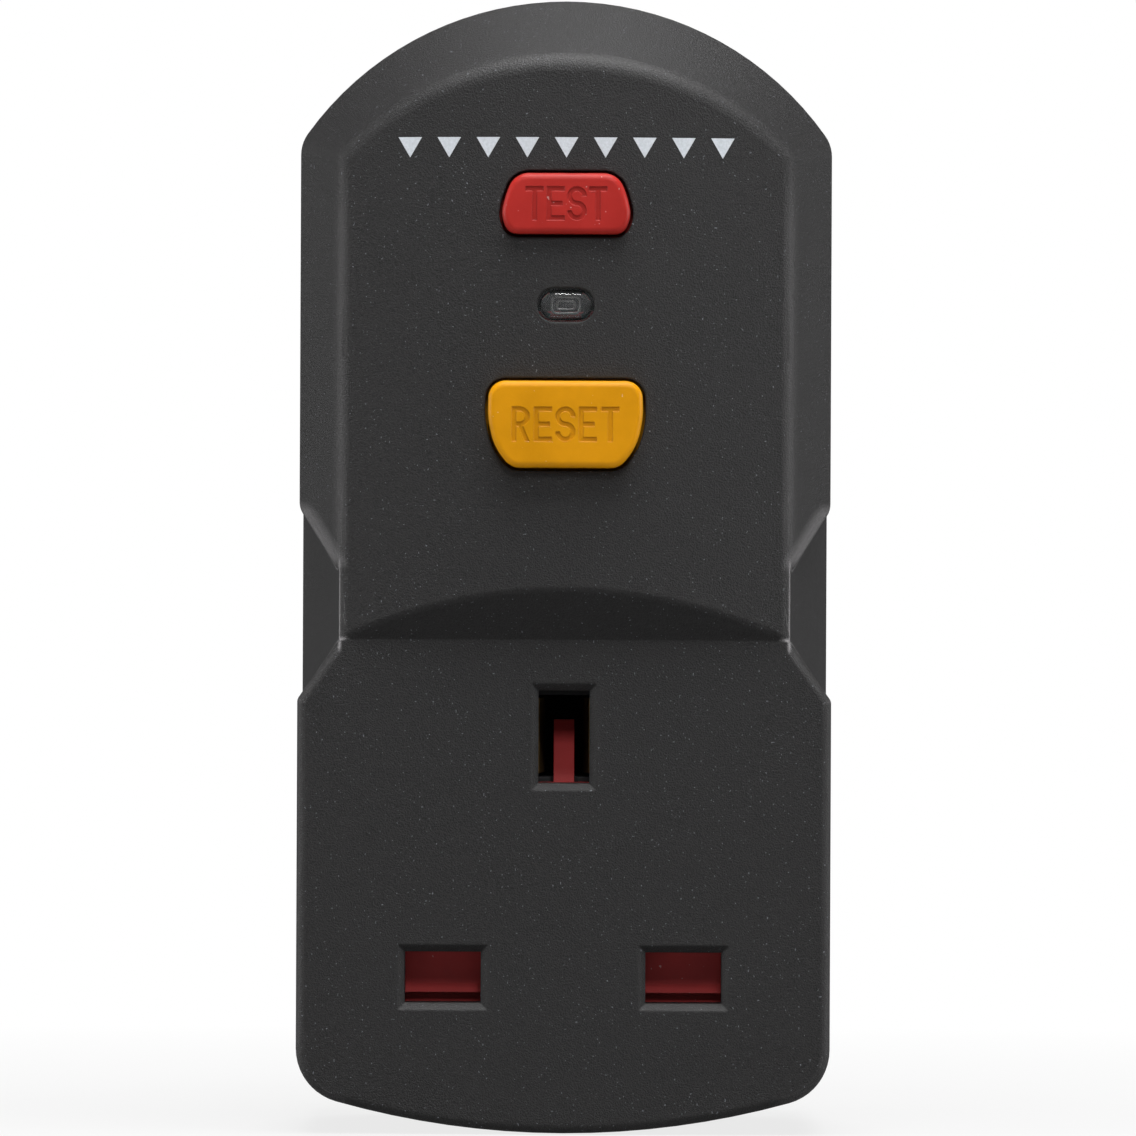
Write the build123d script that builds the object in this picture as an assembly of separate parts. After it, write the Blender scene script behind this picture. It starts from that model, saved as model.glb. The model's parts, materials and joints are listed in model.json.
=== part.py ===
from build123d import *
from math import atan, atan2, cos, sqrt, tan
import os

# A residual current adapter: a wall plug at the back, a switched socket outlet in front.
# Millimetres. x runs across, z up, and y from front to back. The origin is on the flat plug
# face, midway between the earth pin and the line of the two lower pins.
# A distance called rear or front is measured from the plug face towards the front.

# Case
body_width = 49.3
body_top = 79.3
body_bottom = -25.5
top_arc_rise = 13.3
bottom_arc_rise = 4.0
top_corner_radius = 3.4
bottom_corner_radius = 5.1
least_corner_radius = 0.4
wall = 2.4
rear_wall = 2.6
parting = 22.0
socket_front = 43.0
crown_rise = 3.0
flank_inset = 3.9
flank_depth = 6.5
step_foot = 20.1
step_height = 4.6
ridge_radius = 2.0
step_radius = 1.0
rim_radius = 0.8
rear_rim_radius = 1.6
seam = 0.3
lip_inset = 1.3
lip_depth = 1.6

# Finger notches in the sides of the case
notch_low = 14.5
notch_floor_low = 20.1
notch_floor_high = 26.1
notch_high = 32.1
notch_low_radius = 0.8
notch_high_radius = 2.0

# Clearances and cut overruns
running_gap = 0.3
sliding_gap = 0.25
seat_gap = 0.1
overrun = 5.0

# Plug pins and the outlet that copies their pattern
pin_pitch = 22.22
pin_width = 6.35
pin_thickness = 4.0
pin_length = 17.7
earth_height = 8.0
earth_length = 22.7
pin_tip_chamfer = 1.1
sleeve_length = 9.2
sleeve_wall = 0.6
pin_flange_margin = 1.7
pin_flange_thickness = 1.8
pin_fit = 0.05

# Apertures of the outlet
slot_width = 7.0
slot_height = 4.7
earth_slot_width = 4.7
earth_slot_height = 8.55
slot_chamfer = 0.65
collar_wall = 1.2
collar_depth = 2.0

# Safety shutter behind the apertures
shutter_thickness = 2.0
shutter_overlap = 0.9
shutter_top = -8.1
shutter_edge = -12.65
shutter_bottom = -14.4
shutter_lip = 0.9
shutter_recess = 0.5
shutter_band = 0.85
shutter_travel = 5.6
arm_width = 8.0
arm_top = 6.85
tongue_width = 1.9
tongue_low = 6.8
tongue_high = 12.6
tongue_reach = 3.6
spring_slot_width = 3.8
spring_slot_low = -6.3
spring_slot_high = 4.6
shutter_spring_radius = 1.6
shutter_spring_wire = 0.4
peg_width = 2.8
peg_height = 1.6

# Buttons
button_edge_radius = 0.6
button_hole_gap = 0.28
button_flange = 1.1
button_flange_thickness = 1.2
letter_depth = 0.14
letter_stroke = 0.42
letter_width = 1.65
test_width = 11.96
test_height = 5.6
test_proud = 1.2
test_flange_drop = 0.6
test_stem_radius = 2.1
test_nib_radius = 0.8
test_nib_length = 2.5
test_letter_height = 3.1
test_letter_pitch = 1.95
test_edge_shares = ((0.79, 1.0, 0.7), (0.93, 0.3, 2.6), (1.0, -0.35, 0.86), (0.9, -1.0, 0.46))
reset_z = 39.9
button_to_window = 11.0
window_to_test = 9.3
reset_width = 14.3
reset_height = 8.0
reset_proud = 1.8
reset_flange_drop = 0.8
reset_stem_width = 4.2
reset_stem_rear = 17.5
reset_letter_height = 3.2
reset_letter_pitch = 2.06
reset_edge_shares = ((0.985, 1.0, 0.4), (1.0, 0.18, 1.9), (0.925, -0.5, 1.4), (0.7, -1.0, 0.46))
button_spring_gap = 0.5
button_spring_wire = 0.6

# Indicator window and the flag behind it
window_width = 4.9
window_height = 2.75
window_gap = 0.2
window_sink = 0.35
window_edge_radius = 0.5
window_flange = 1.2
window_flange_thickness = 1.0
window_pocket_width = 2.8
window_pocket_height = 1.65
window_pocket_cover = 0.9
flag_width = 5.4
flag_thickness = 1.0
flag_top_drop = 0.45
flag_low_drop = 4.4
flag_front = 38.6
flag_travel = 1.6
flag_stem_width = 2.4
flag_stem_height = 1.5
flag_stem_rear = 26.6

# Circuit board
board_rear = 12.0
board_thickness = 1.6
board_side_gap = 1.75
board_low = 19.0
board_margin = 3.1
board_tab_width = 20.0
board_tab_margin = 1.0
board_post_radius = 2.0
board_peg_radius = 1.0
board_post_inset = 3.5
board_post_low_z = 31.5
board_post_drop = 4.0
riser_hole_radius = 3.4

# Frame that carries the mechanism on the board
frame_rear = 30.0
frame_thickness = 1.6
frame_side_gap = 0.55
frame_low = 21.4
frame_margin = 1.9
frame_tab_gap = 1.8
frame_tab_margin = 0.4
frame_leg = 2.2
frame_leg_gap = 0.2
frame_ear_depth = 4.8
frame_ear_width = 3.8
frame_ear_thickness = 1.4

# Current sensing ring and its winding
ring_z = 27.0
ring_radius = 7.4
ring_bore = 4.4
ring_depth = 6.6
ring_winding_wall = 0.7

# Conductors
conductor_width = 1.6
conductor_thickness = 0.8
supply_riser_x = 1.8
supply_turn_front = 24.5
supply_width = 3.0
contact_inset = 7.4
load_strap_gap = 0.7
load_turn_z = 19.2
earth_bar_width = 4.0
earth_bar_height = 3.0

# Main contacts
fixed_pad_radius = 1.7
fixed_pad_thickness = 1.5
moving_pad_radius = 1.6
pad_thickness = 0.8
contact_pitch = 7.4
contact_gap = 2.2
bridge_width = 4.0
bridge_thickness = 0.8
bridge_end = 1.3
carrier_core_gap = 1.5
carrier_height = 7.8
carrier_wing_height = 3.0
carrier_depth = 4.2
trip_spring_x = 6.5
trip_spring_radius = 1.7
trip_spring_wire = 0.5

# Solenoid, plunger and latch
coil_rise = 1.6
coil_left = 0.0
coil_length = 13.5
coil_flange_radius = 4.4
coil_flange = 0.8
coil_core_radius = 2.4
coil_bore_radius = 1.6
coil_winding_radius = 4.1
yoke_thickness = 0.9
yoke_height = 8.0
yoke_depth = 9.4
plunger_radius = 1.3
plunger_out = 7.5
plunger_in = 7.0
plunger_head_radius = 1.9
plunger_head = 0.8
latch_pivot_front = 27.0
latch_pin_radius = 0.9
latch_hub_radius = 1.8
latch_arm_thickness = 1.0
latch_arm_reach = 10.5
latch_arm_height = 6.0
latch_fork_width = 3.3
latch_fork_gap = 0.5
latch_nose_start = 1.1
latch_nose_width = 1.7
latch_nose_rise = 0.2
latch_nose_depth = 1.5
latch_contact_gap = 4.0
latch_margin = 3.9

# Test contact
leaf_width = 4.0
leaf_thickness = 0.4
leaf_front = 20.4
leaf_overlap = 2.7
leaf_length = 12.1
leaf_curl_radius = 0.5
leaf_post_thickness = 1.1
test_pad_drop = 1.7
test_pad_radius = 1.0
test_pad_front = 17.5

# Electronic parts on the board
part_lead_gap = 0.1
resistor_rise = 5.8
resistor_radius = 1.2
resistor_length = 7.0
leg_clearance = 0.6
film_capacitor_z = 26.8
film_capacitor_width = 4.2
film_capacitor_height = 7.2
film_capacitor_depth = 8.8
round_capacitor_inset = 5.3
round_capacitor_rise = 0.7
round_capacitor_radius = 2.4
round_capacitor_depth = 7.4
varistor_z = 27.0
varistor_radius = 4.9
varistor_thickness = 3.2
chip_rise = 4.6
chip_width = 5.0
chip_height = 4.0
chip_depth = 1.5
diode_x = 10.5
diode_rise = 2.6
diode_pitch = 3.2
diode_width = 2.2
diode_height = 1.2
diode_depth = 1.1

# Moulding that carries the outlet contacts
tray_rear = 12.0
tray_base = 2.0
tray_front = 35.8
tray_high = 17.5
tray_waist = -13.4
tray_low = -20.0
tray_boss_gap = 0.9
tray_wall = 1.2
tray_foot = 3.0
tray_foot_gap = 2.0
tray_foot_high_z = 14.4
tray_foot_low_z = -6.2

# Outlet contacts
clip_thickness = 0.6
clip_base_gap = 0.3
clip_front = 35.2
clip_root = 2.9
clip_throat = 2.4
clip_throat_share = 0.72
clip_heel_share = 0.2
clip_width = 5.6
clip_earth_width = 7.0
clip_base_width = 7.8

# Case screws
screw_inset_high = 8.65
screw_z_high = 66.0
screw_inset_low = 5.25
screw_z_low = -18.0
screw_radius = 1.4
screw_head_radius = 2.8
screw_head = 2.0
screw_seat = 12.0
screw_length = 20.0
screw_cross = 0.7
screw_cross_reach = 1.7
screw_cross_depth = 1.1
counterbore_radius = 3.1
boss_radius = 4.0
post_radius = 3.2

# Sizes that follow from the ones above
half_width = body_width / 2
half_panel = half_width - flank_inset
half_pitch = pin_pitch / 2
crest = socket_front + crown_rise
taper_slope = flank_inset / flank_depth
notch_slope = flank_inset / (socket_front - parting)
shutter_front = socket_front - wall - collar_depth - running_gap
shutter_rear = shutter_front - shutter_thickness
shutter_width = pin_pitch + slot_width + 2 * shutter_overlap
board_front = board_rear + board_thickness
board_half = half_width - wall - board_side_gap
frame_front = frame_rear + frame_thickness
frame_half = half_width - notch_slope * (frame_front - parting) - wall - frame_side_gap
contact_x = frame_half - contact_inset
window_z = reset_z + button_to_window
test_z = window_z + window_to_test
coil_z = window_z + coil_rise
flag_top = window_z - flag_top_drop
flag_low = window_z - flag_low_drop
leaf_low = test_z - leaf_overlap
leaf_root = leaf_low + leaf_length
latch_low = reset_z + contact_pitch / 2 + latch_contact_gap
latch_high = coil_z + latch_margin
frame_high = coil_z + yoke_height / 2 + frame_margin
frame_tab_high = leaf_root + frame_tab_margin
board_high = frame_high + board_margin
leaf_post_low = leaf_root + leaf_curl_radius + running_gap
board_tab_high = leaf_post_low + leaf_post_thickness + board_tab_margin
board_post_x = board_half - board_post_inset
board_post_high_z = board_high - board_post_drop
frame_leg_x = frame_half - frame_leg / 2
frame_leg_low_z = frame_low + frame_leg / 2
frame_leg_high_z = coil_z - yoke_height / 2 - frame_leg_gap - frame_leg / 2
part_reach = frame_half - frame_leg - leg_clearance
tray_foot_x = half_pitch + supply_width / 2 + tray_foot_gap + tray_foot / 2
load_strap_x = half_pitch + clip_base_width / 2 + load_strap_gap + conductor_width / 2
screw_x_high = half_width - screw_inset_high
screw_x_low = half_width - screw_inset_low
fixed_pad_rear = frame_rear - conductor_thickness - fixed_pad_thickness
moving_pad_front = fixed_pad_rear - contact_gap
carrier_rear = moving_pad_front - pad_thickness - carrier_depth
coil_front = board_front + yoke_thickness + 2 * seat_gap + coil_flange_radius
tray_floor = tray_rear + tray_base
clip_rear = tray_floor + clip_base_gap
screw_places = [
    (-screw_x_high, screw_z_high),
    (screw_x_high, screw_z_high),
    (-screw_x_low, screw_z_low),
    (screw_x_low, screw_z_low),
]


def plate(outline, rear, front):
    """A flat outline in x and z made solid between two distances in front of the plug face."""
    return extrude(Plane.XZ.offset(rear) * outline, amount=front - rear)


def block(x, z, width, height, rear, front):
    return plate(Pos(x, z) * Rectangle(width, height), rear, front)


def span(left, right, low, high, rear, front):
    return block((left + right) / 2, (low + high) / 2, right - left, high - low, rear, front)


def rod(x, z, radius, rear, front):
    return plate(Pos(x, z) * Circle(radius), rear, front)


def tube(x, z, radius, bore, rear, front):
    return plate(Pos(x, z) * (Circle(radius) - Circle(bore)), rear, front)


def side_profile(points, centre, width):
    """A closed outline of (front, z) points made solid across x."""
    face = make_face(Polyline([(-front, z) for front, z in points], close=True))
    return Pos(centre, 0, 0) * extrude(Plane.YZ * face, amount=width / 2, both=True)


def plan_profile(points, low, high):
    """A closed outline of (x, front) points made solid upwards."""
    face = make_face(Polyline([(x, -front) for x, front in points], close=True))
    return Pos(0, 0, low) * extrude(face, amount=high - low)


def cross_rod(left, right, z, front, radius):
    """A round rod that lies across x."""
    return Pos((left + right) / 2, -front, z) * Rot(0, 90, 0) * Cylinder(radius, right - left)


def upright_rod(x, front, low, high, radius):
    return Pos(x, -front, (low + high) / 2) * Cylinder(radius, high - low)


def both_sides(solid):
    return [solid, mirror(solid, about=Plane.YZ)]


def joined(solids):
    """One solid out of several that overlap or share faces."""
    total = solids[0]
    for solid in solids[1:]:
        total = total + solid
    return total.solids()[0]


def bar(points, width, thickness):
    """A flat conductor through (x, z, front) points, each run along one axis."""
    runs = []
    for start, end in zip(points, points[1:]):
        low = [min(a, b) for a, b in zip(start, end)]
        high = [max(a, b) for a, b in zip(start, end)]
        runs.append(
            span(
                low[0] - width / 2,
                high[0] + width / 2,
                low[1] - width / 2,
                high[1] + width / 2,
                low[2] - thickness / 2,
                high[2] + thickness / 2,
            )
        )
    return joined(runs)


# Case

def arc_radius(half, rise):
    return (half**2 + rise**2) / (2 * rise)


def case_outline(inset):
    """The outline of the case seen from the front, drawn in by an inset."""
    half = half_width - inset
    top_radius = arc_radius(half_width, top_arc_rise) - inset
    bottom_radius = arc_radius(half_width, bottom_arc_rise) - inset
    top = body_top - inset
    bottom = body_bottom + inset
    top_side = top - top_radius + sqrt(top_radius**2 - half**2)
    bottom_side = bottom + bottom_radius - sqrt(bottom_radius**2 - half**2)
    with BuildSketch() as sketch:
        with BuildLine():
            ThreePointArc((-half, top_side), (0, top), (half, top_side))
            Line((half, top_side), (half, bottom_side))
            ThreePointArc((half, bottom_side), (0, bottom), (-half, bottom_side))
            Line((-half, bottom_side), (-half, top_side))
        make_face()
        upper_corners = sketch.vertices().sort_by(Axis.Y)[-2:]
        fillet(upper_corners, max(top_corner_radius - inset, least_corner_radius))
        lower_corners = sketch.vertices().sort_by(Axis.Y)[:2]
        fillet(lower_corners, max(bottom_corner_radius - inset, least_corner_radius))
    return sketch.sketch


def crown_outline(inset, rear):
    """The section across the crowned panel, in x and y."""
    radius = arc_radius(half_panel, crown_rise) - inset
    top = crest - inset
    side = half_width + seam
    edge = top - radius + sqrt(radius**2 - side**2)
    arc = ThreePointArc((-side, -edge), (0, -top), (side, -edge))
    rest = Polyline((side, -edge), (side, -rear), (-side, -rear), (-side, -edge))
    return make_face([arc, rest])


def upper_form(inset, rear):
    """The upper half of the case: tapered flanks, a crowned panel and the step below it."""
    face = socket_front - inset
    foot = step_foot + inset * tan(atan2(crown_rise, step_height) / 2)
    taper_start = socket_front - flank_depth - inset * tan(atan(taper_slope) / 2)
    taper_end = crest - inset + least_corner_radius
    narrowing = taper_slope * (taper_end - taper_start)
    wide = Plane.XZ.offset(taper_start) * case_outline(inset)
    narrow = Plane.XZ.offset(taper_end) * case_outline(inset + narrowing)
    form = plate(case_outline(inset), rear, taper_start) + loft([wide, narrow], ruled=True)
    crown = extrude(crown_outline(inset, rear), amount=body_top - foot)
    form = form & (Pos(0, 0, foot) * crown)
    below = foot - step_height
    step = [
        (face, below),
        (face, foot),
        (face + 2 * crown_rise, foot + 2 * step_height),
        (face + 2 * crown_rise, below),
    ]
    return (form - side_profile(step, 0, 2 * body_width)).solids()[0]


def lower_form(inset, rear):
    """The flat block that holds the outlet, up to the foot of the step."""
    face = socket_front - inset
    foot = step_foot + inset * tan(atan2(crown_rise, step_height) / 2)
    form = plate(case_outline(inset), rear, face)
    return form & span(-body_width, body_width, 2 * body_bottom, foot, rear, face)


def notch(inset):
    """What the right-hand finger notch takes away, grown by an inset for the inner wall."""
    far = crest + overrun
    tilt = atan(notch_slope)
    floor_rear = half_width - inset / cos(tilt)
    floor_far = floor_rear - notch_slope * (far - parting)
    out = half_width + overrun
    points = [(floor_rear, parting), (floor_far, far), (out, far), (out, parting)]
    band = plan_profile(points, 2 * body_bottom, body_top)
    run = half_width - half_panel
    low_slope = (notch_floor_low - notch_low) / run
    high_slope = (notch_high - notch_floor_high) / run
    low = notch_low - inset * sqrt(1 + low_slope**2)
    high = notch_high + inset * sqrt(1 + high_slope**2)
    reach = half_width - floor_far
    region = make_face(
        Polyline(
            (out, low - low_slope * overrun),
            (floor_far, low + low_slope * reach),
            (floor_far, high - high_slope * reach),
            (out, high + high_slope * overrun),
            close=True,
        )
    )
    return plate(region, parting, far) & band


def crown_face(form):
    rounded = form.faces().filter_by(GeomType.CYLINDER)
    return rounded.sort_by(Axis.Y)[0]


def outer_form():
    """The outside of the front half, with its rounded ridges and rims."""
    upper = upper_form(0, parting)
    ridge = [e for e in crown_face(upper).edges() if e.center().Z > notch_floor_high]
    upper = fillet(ridge, ridge_radius)
    brow = upper.edges().filter_by(GeomType.ELLIPSE).sort_by(SortBy.LENGTH)[-1]
    upper = fillet(brow, step_radius)
    form = upper + lower_form(0, parting)
    for cut in both_sides(notch(0)):
        form = form - cut
    form = form.solids()[0]
    flat = form.faces().filter_by(Plane.XZ).sort_by(Axis.Y)[0]
    rim = [e for e in flat.outer_wire().edges() if e.center().Z < step_foot - seam]
    form = fillet(rim, rim_radius)
    shoulders = []
    brows = []
    for edge in form.edges():
        middle = edge.center()
        outside = abs(middle.X) > half_panel + seam
        if outside and abs(abs(middle.X) - half_width) < seam and abs(middle.Z - notch_low) < seam:
            shoulders.append(edge)
        if outside and edge.length > seam and notch_floor_high + seam < middle.Z < notch_high + seam:
            on_side = abs(middle.Z - notch_high) < seam
            on_flank = edge.geom_type == GeomType.BSPLINE
            if on_side or on_flank:
                brows.append(edge)
    form = fillet(shoulders, notch_low_radius)
    brows = [e for e in form.edges() if any((e.center() - b.center()).length < seam for b in brows)]
    return fillet(brows, notch_high_radius).solids()[0]


def inner_form():
    form = upper_form(wall, parting - lip_depth) + lower_form(wall, parting - lip_depth)
    for cut in both_sides(notch(wall)):
        form = form - cut
    return form.solids()[0]


def button_outline(width, height, shares, growth):
    """A barrel-shaped outline from its right-hand corners and their roundness, grown by a margin."""
    right = [(width / 2 * across, height / 2 * up) for across, up, roundness in shares]
    left = [(-x, z) for x, z in reversed(right)]
    rounded = make_face(Polyline(right + left, close=True))
    for (x, z), (across, up, roundness) in zip(right, shares):
        corners = [v for v in rounded.vertices() if abs(abs(v.X) - x) < seam and abs(v.Y - z) < seam]
        rounded = fillet(corners, height / 2 * roundness)
    if growth > 0:
        rounded = offset(rounded, amount=growth, kind=Kind.ARC)
    return rounded


def window_outline(growth):
    return SlotOverall(window_width + 2 * growth, window_height + 2 * growth)


def aperture(x, z, width, height):
    """An outlet aperture with its sloped mouth."""
    neck = block(x, z, width, height, shutter_front, socket_front + overrun)
    slope = slot_chamfer + overrun
    mouth = loft(
        [
            Plane.XZ.offset(socket_front - slot_chamfer) * Pos(x, z) * Rectangle(width, height),
            Plane.XZ.offset(socket_front + overrun)
            * Pos(x, z)
            * Rectangle(width + 2 * slope, height + 2 * slope),
        ],
        ruled=True,
    )
    return neck + mouth


def aperture_places():
    lower = [(side * half_pitch, -half_pitch, slot_width, slot_height) for side in (-1, 1)]
    return lower + [(0, half_pitch, earth_slot_width, earth_slot_height)]


def front_shell():
    outer = outer_form()
    shell = outer - inner_form()
    collar_rear = socket_front - wall - collar_depth
    for x, z, width, height in aperture_places():
        margin = 2 * collar_wall
        shell += block(x, z, width + margin, height + margin, collar_rear, socket_front - wall / 2)
    for x, z in screw_places:
        post = rod(x, z, post_radius, parting, crest + overrun)
        shell += post & outer
    ring = plate(case_outline(lip_inset) - case_outline(wall), parting - lip_depth, parting)
    shell += ring
    for x, z, width, height in aperture_places():
        shell -= aperture(x, z, width, height)
    for x, z in screw_places:
        depth = screw_seat + screw_length + seat_gap
        shell -= rod(x, z, screw_radius + pin_fit, parting - overrun, depth)
    reset = button_outline(reset_width, reset_height, reset_edge_shares, button_hole_gap)
    test = button_outline(test_width, test_height, test_edge_shares, button_hole_gap)
    shell -= plate(Pos(0, reset_z) * reset, shutter_rear, crest + overrun)
    shell -= plate(Pos(0, test_z) * test, shutter_rear, crest + overrun)
    shell -= plate(Pos(0, window_z) * window_outline(window_gap), shutter_rear, crest + overrun)
    shell -= plate(case_outline(-overrun) - case_outline(seam), parting, parting + seam)
    return shell.solids().sort_by(SortBy.VOLUME)[-1]


def rear_cover():
    cover = plate(case_outline(0), 0, parting)
    back = cover.faces().filter_by(Plane.XZ).sort_by(Axis.Y)[-1]
    cover = fillet(back.outer_wire().edges(), rear_rim_radius)
    cover -= plate(case_outline(wall), rear_wall, parting + overrun)
    for x, z in screw_places:
        boss = rod(x, z, boss_radius, rear_wall / 2, parting - seat_gap)
        cover += boss & plate(case_outline(wall / 2), 0, parting)
    for x in (-board_post_x, board_post_x):
        for z in (board_post_low_z, board_post_high_z):
            cover += rod(x, z, board_post_radius, rear_wall / 2, board_rear)
            cover += rod(x, z, board_peg_radius, board_rear / 2, board_front + seat_gap)
    slot = case_outline(lip_inset - sliding_gap / 2) - case_outline(wall + sliding_gap)
    cover -= plate(slot, parting - lip_depth - sliding_gap, parting + overrun)
    for x, z in screw_places:
        cover -= rod(x, z, counterbore_radius, -overrun, screw_seat)
        cover -= rod(x, z, screw_radius + seat_gap, 0, parting + overrun)
    core_width = pin_width - 2 * sleeve_wall + 2 * pin_fit
    core_height = pin_thickness - 2 * sleeve_wall + 2 * pin_fit
    for side in (-1, 1):
        cover -= block(
            side * half_pitch, -half_pitch, core_width, core_height, -overrun, rear_wall + overrun
        )
    cover -= block(
        0,
        half_pitch,
        pin_thickness + 2 * pin_fit,
        earth_height + 2 * pin_fit,
        -overrun,
        rear_wall + overrun,
    )
    return cover.solids().sort_by(SortBy.VOLUME)[-1]


def case_screws():
    """Four screws that enter from the back."""
    screws = []
    for x, z in screw_places:
        shank = rod(x, z, screw_radius, screw_seat - screw_head, screw_seat + screw_length)
        head = rod(x, z, screw_head_radius, screw_seat - screw_head, screw_seat)
        screw = shank + head
        bottom = screw_seat - screw_head
        for width, height in ((screw_cross, 2 * screw_cross_reach), (2 * screw_cross_reach, screw_cross)):
            screw -= block(x, z, width, height, bottom - overrun, bottom + screw_cross_depth)
        screws.append(screw)
    return screws


# Buttons and indicator

def stroke(left, right, low, high):
    return Pos((left + right) / 2, (low + high) / 2) * Rectangle(right - left, high - low)


def letter_t(height):
    half = letter_width / 2
    top = height / 2
    cap = stroke(-half, half, top - letter_stroke, top)
    return cap + stroke(-letter_stroke / 2, letter_stroke / 2, -top, top)


def letter_e(height):
    half = letter_width / 2
    top = height / 2
    outline = stroke(-half, letter_stroke - half, -top, top)
    outline += stroke(-half, half, top - letter_stroke, top)
    outline += stroke(-half, half - letter_stroke / 2, -letter_stroke / 2, letter_stroke / 2)
    return outline + stroke(-half, half, -top, letter_stroke - top)


def letter_s(height):
    """Two rings that share the middle stroke, each open on one side."""
    radius = (height + letter_stroke) / 4
    ring = Circle(radius) - Circle(radius - letter_stroke)
    rise = height / 2 - radius
    upper = Pos(0, rise) * (ring - stroke(0, radius, -radius, 0))
    lower = Pos(0, -rise) * (ring - stroke(-radius, 0, 0, radius))
    return upper + lower


def letter_r(height):
    """A stem, a round bowl and a slanted leg."""
    half = letter_width / 2
    top = height / 2
    radius = (height + letter_stroke) / 4
    bowl_x = half - radius
    waist = top - 2 * radius
    outline = stroke(-half, letter_stroke - half, -top, top)
    ring = Pos(bowl_x, top - radius) * (Circle(radius) - Circle(radius - letter_stroke))
    outline += ring & stroke(bowl_x, half, waist, top)
    outline += stroke(-half, bowl_x, top - letter_stroke, top)
    outline += stroke(-half, bowl_x, waist, waist + letter_stroke)
    leg = [
        (bowl_x - letter_stroke / 2, waist + letter_stroke / 2),
        (bowl_x + letter_stroke / 2, waist + letter_stroke / 2),
        (half, -top),
        (half - letter_stroke, -top),
    ]
    return outline + make_face(Polyline(leg, close=True))


def word(letters, z, pitch, height, front):
    """Sunk letters in a row, cut from just in front of a button's face."""
    first = -pitch * (len(letters) - 1) / 2
    cuts = []
    for place, letter in enumerate(letters):
        outline = Pos(first + place * pitch, z) * letter(height)
        cuts.append(plate(outline, front - letter_depth, front + overrun))
    return cuts


def button(z, outline, flange_outline, proud, flange_drop):
    """A cap with a rounded edge and the flange that keeps it in the case."""
    top = crest + proud
    flange_front = crest - wall - flange_drop
    cap = plate(Pos(0, z) * outline, flange_front - button_flange_thickness, top)
    face = cap.faces().filter_by(Plane.XZ).sort_by(Axis.Y)[0]
    cap = fillet(face.edges(), button_edge_radius)
    return cap + plate(Pos(0, z) * flange_outline, flange_front - button_flange_thickness, flange_front)


def test_button():
    outline = button_outline(test_width, test_height, test_edge_shares, 0)
    flange = button_outline(test_width, test_height, test_edge_shares, button_flange)
    solid = button(test_z, outline, flange, test_proud, test_flange_drop)
    tip = leaf_front + running_gap
    flange_rear = crest - wall - test_flange_drop - button_flange_thickness
    solid += rod(0, test_z, test_stem_radius, tip + test_nib_length, flange_rear)
    solid += rod(0, test_z, test_nib_radius, tip, tip + test_nib_length)
    letters = [letter_t, letter_e, letter_s, letter_t]
    for cut in word(letters, test_z, test_letter_pitch, test_letter_height, crest + test_proud):
        solid -= cut
    return solid.solids()[0]


def reset_button():
    outline = button_outline(reset_width, reset_height, reset_edge_shares, 0)
    flange = button_outline(reset_width, reset_height, reset_edge_shares, button_flange)
    solid = button(reset_z, outline, flange, reset_proud, reset_flange_drop)
    flange_rear = crest - wall - reset_flange_drop - button_flange_thickness
    solid += block(0, reset_z, reset_stem_width, reset_stem_width, reset_stem_rear, flange_rear)
    letters = [letter_r, letter_e, letter_s, letter_e, letter_t]
    for cut in word(letters, reset_z, reset_letter_pitch, reset_letter_height, crest + reset_proud):
        solid -= cut
    return solid.solids()[0]


def button_spring(z, bore, flange_drop):
    """A compression spring, kept as a plain sleeve of its own size."""
    front = crest - wall - flange_drop - button_flange_thickness - seat_gap
    return tube(0, z, bore + button_spring_wire, bore, frame_front + seat_gap, front)


def indicator_lens():
    front = crest - window_sink
    flange_front = crest - wall - seat_gap
    rear = flange_front - window_flange_thickness
    lens = plate(Pos(0, window_z) * window_outline(0), rear, front)
    lens += plate(Pos(0, window_z) * window_outline(window_flange), rear, flange_front)
    pocket = block(
        0,
        window_z,
        window_pocket_width,
        window_pocket_height,
        rear - overrun,
        front - window_pocket_cover,
    )
    lens = lens - pocket
    face = lens.faces().sort_by(Axis.Y)[0]
    return fillet(face.edges(), window_edge_radius)


def indicator_flag():
    blade = span(-flag_width / 2, flag_width / 2, flag_low, flag_top, flag_front - flag_thickness, flag_front)
    half = flag_stem_width / 2
    stem = span(-half, half, flag_low, flag_low + flag_stem_height, flag_stem_rear, flag_front)
    return joined([blade, stem])


# Outlet

def shutter():
    """A plate over the lower apertures, an arm, and a ramp that the earth pin pushes down."""
    lip_front = shutter_rear + shutter_lip
    face = shutter_front - shutter_recess
    edge = [
        (shutter_rear, shutter_top),
        (face, shutter_top),
        (face, shutter_edge + shutter_band),
        (shutter_front, shutter_edge),
        (lip_front, shutter_edge),
        (lip_front, shutter_bottom),
        (shutter_rear, shutter_bottom),
    ]
    cover = side_profile(edge, 0, shutter_width)
    arm = span(-arm_width / 2, arm_width / 2, shutter_top - seat_gap, arm_top, shutter_rear, shutter_front)
    half_slot = spring_slot_width / 2
    arm -= span(
        -half_slot,
        half_slot,
        spring_slot_low,
        spring_slot_high,
        shutter_rear - overrun,
        shutter_front + overrun,
    )
    ramp = [
        (shutter_front, tongue_low - seat_gap),
        (shutter_front, tongue_low),
        (shutter_rear - tongue_reach + shutter_thickness, tongue_high),
        (shutter_rear - tongue_reach, tongue_high),
        (shutter_rear - tongue_reach, tongue_low - seat_gap),
    ]
    tongue = side_profile(ramp, 0, tongue_width)
    return joined([cover, arm, tongue])


def shutter_spring():
    low = peg_low() + peg_height + seat_gap
    high = spring_slot_high - seat_gap
    middle = (shutter_front + shutter_rear) / 2
    outside = upright_rod(0, middle, low, high, shutter_spring_radius)
    bore = shutter_spring_radius - shutter_spring_wire
    return outside - upright_rod(0, middle, low - overrun, high + overrun, bore)


def peg_low():
    return spring_slot_low + running_gap


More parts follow.
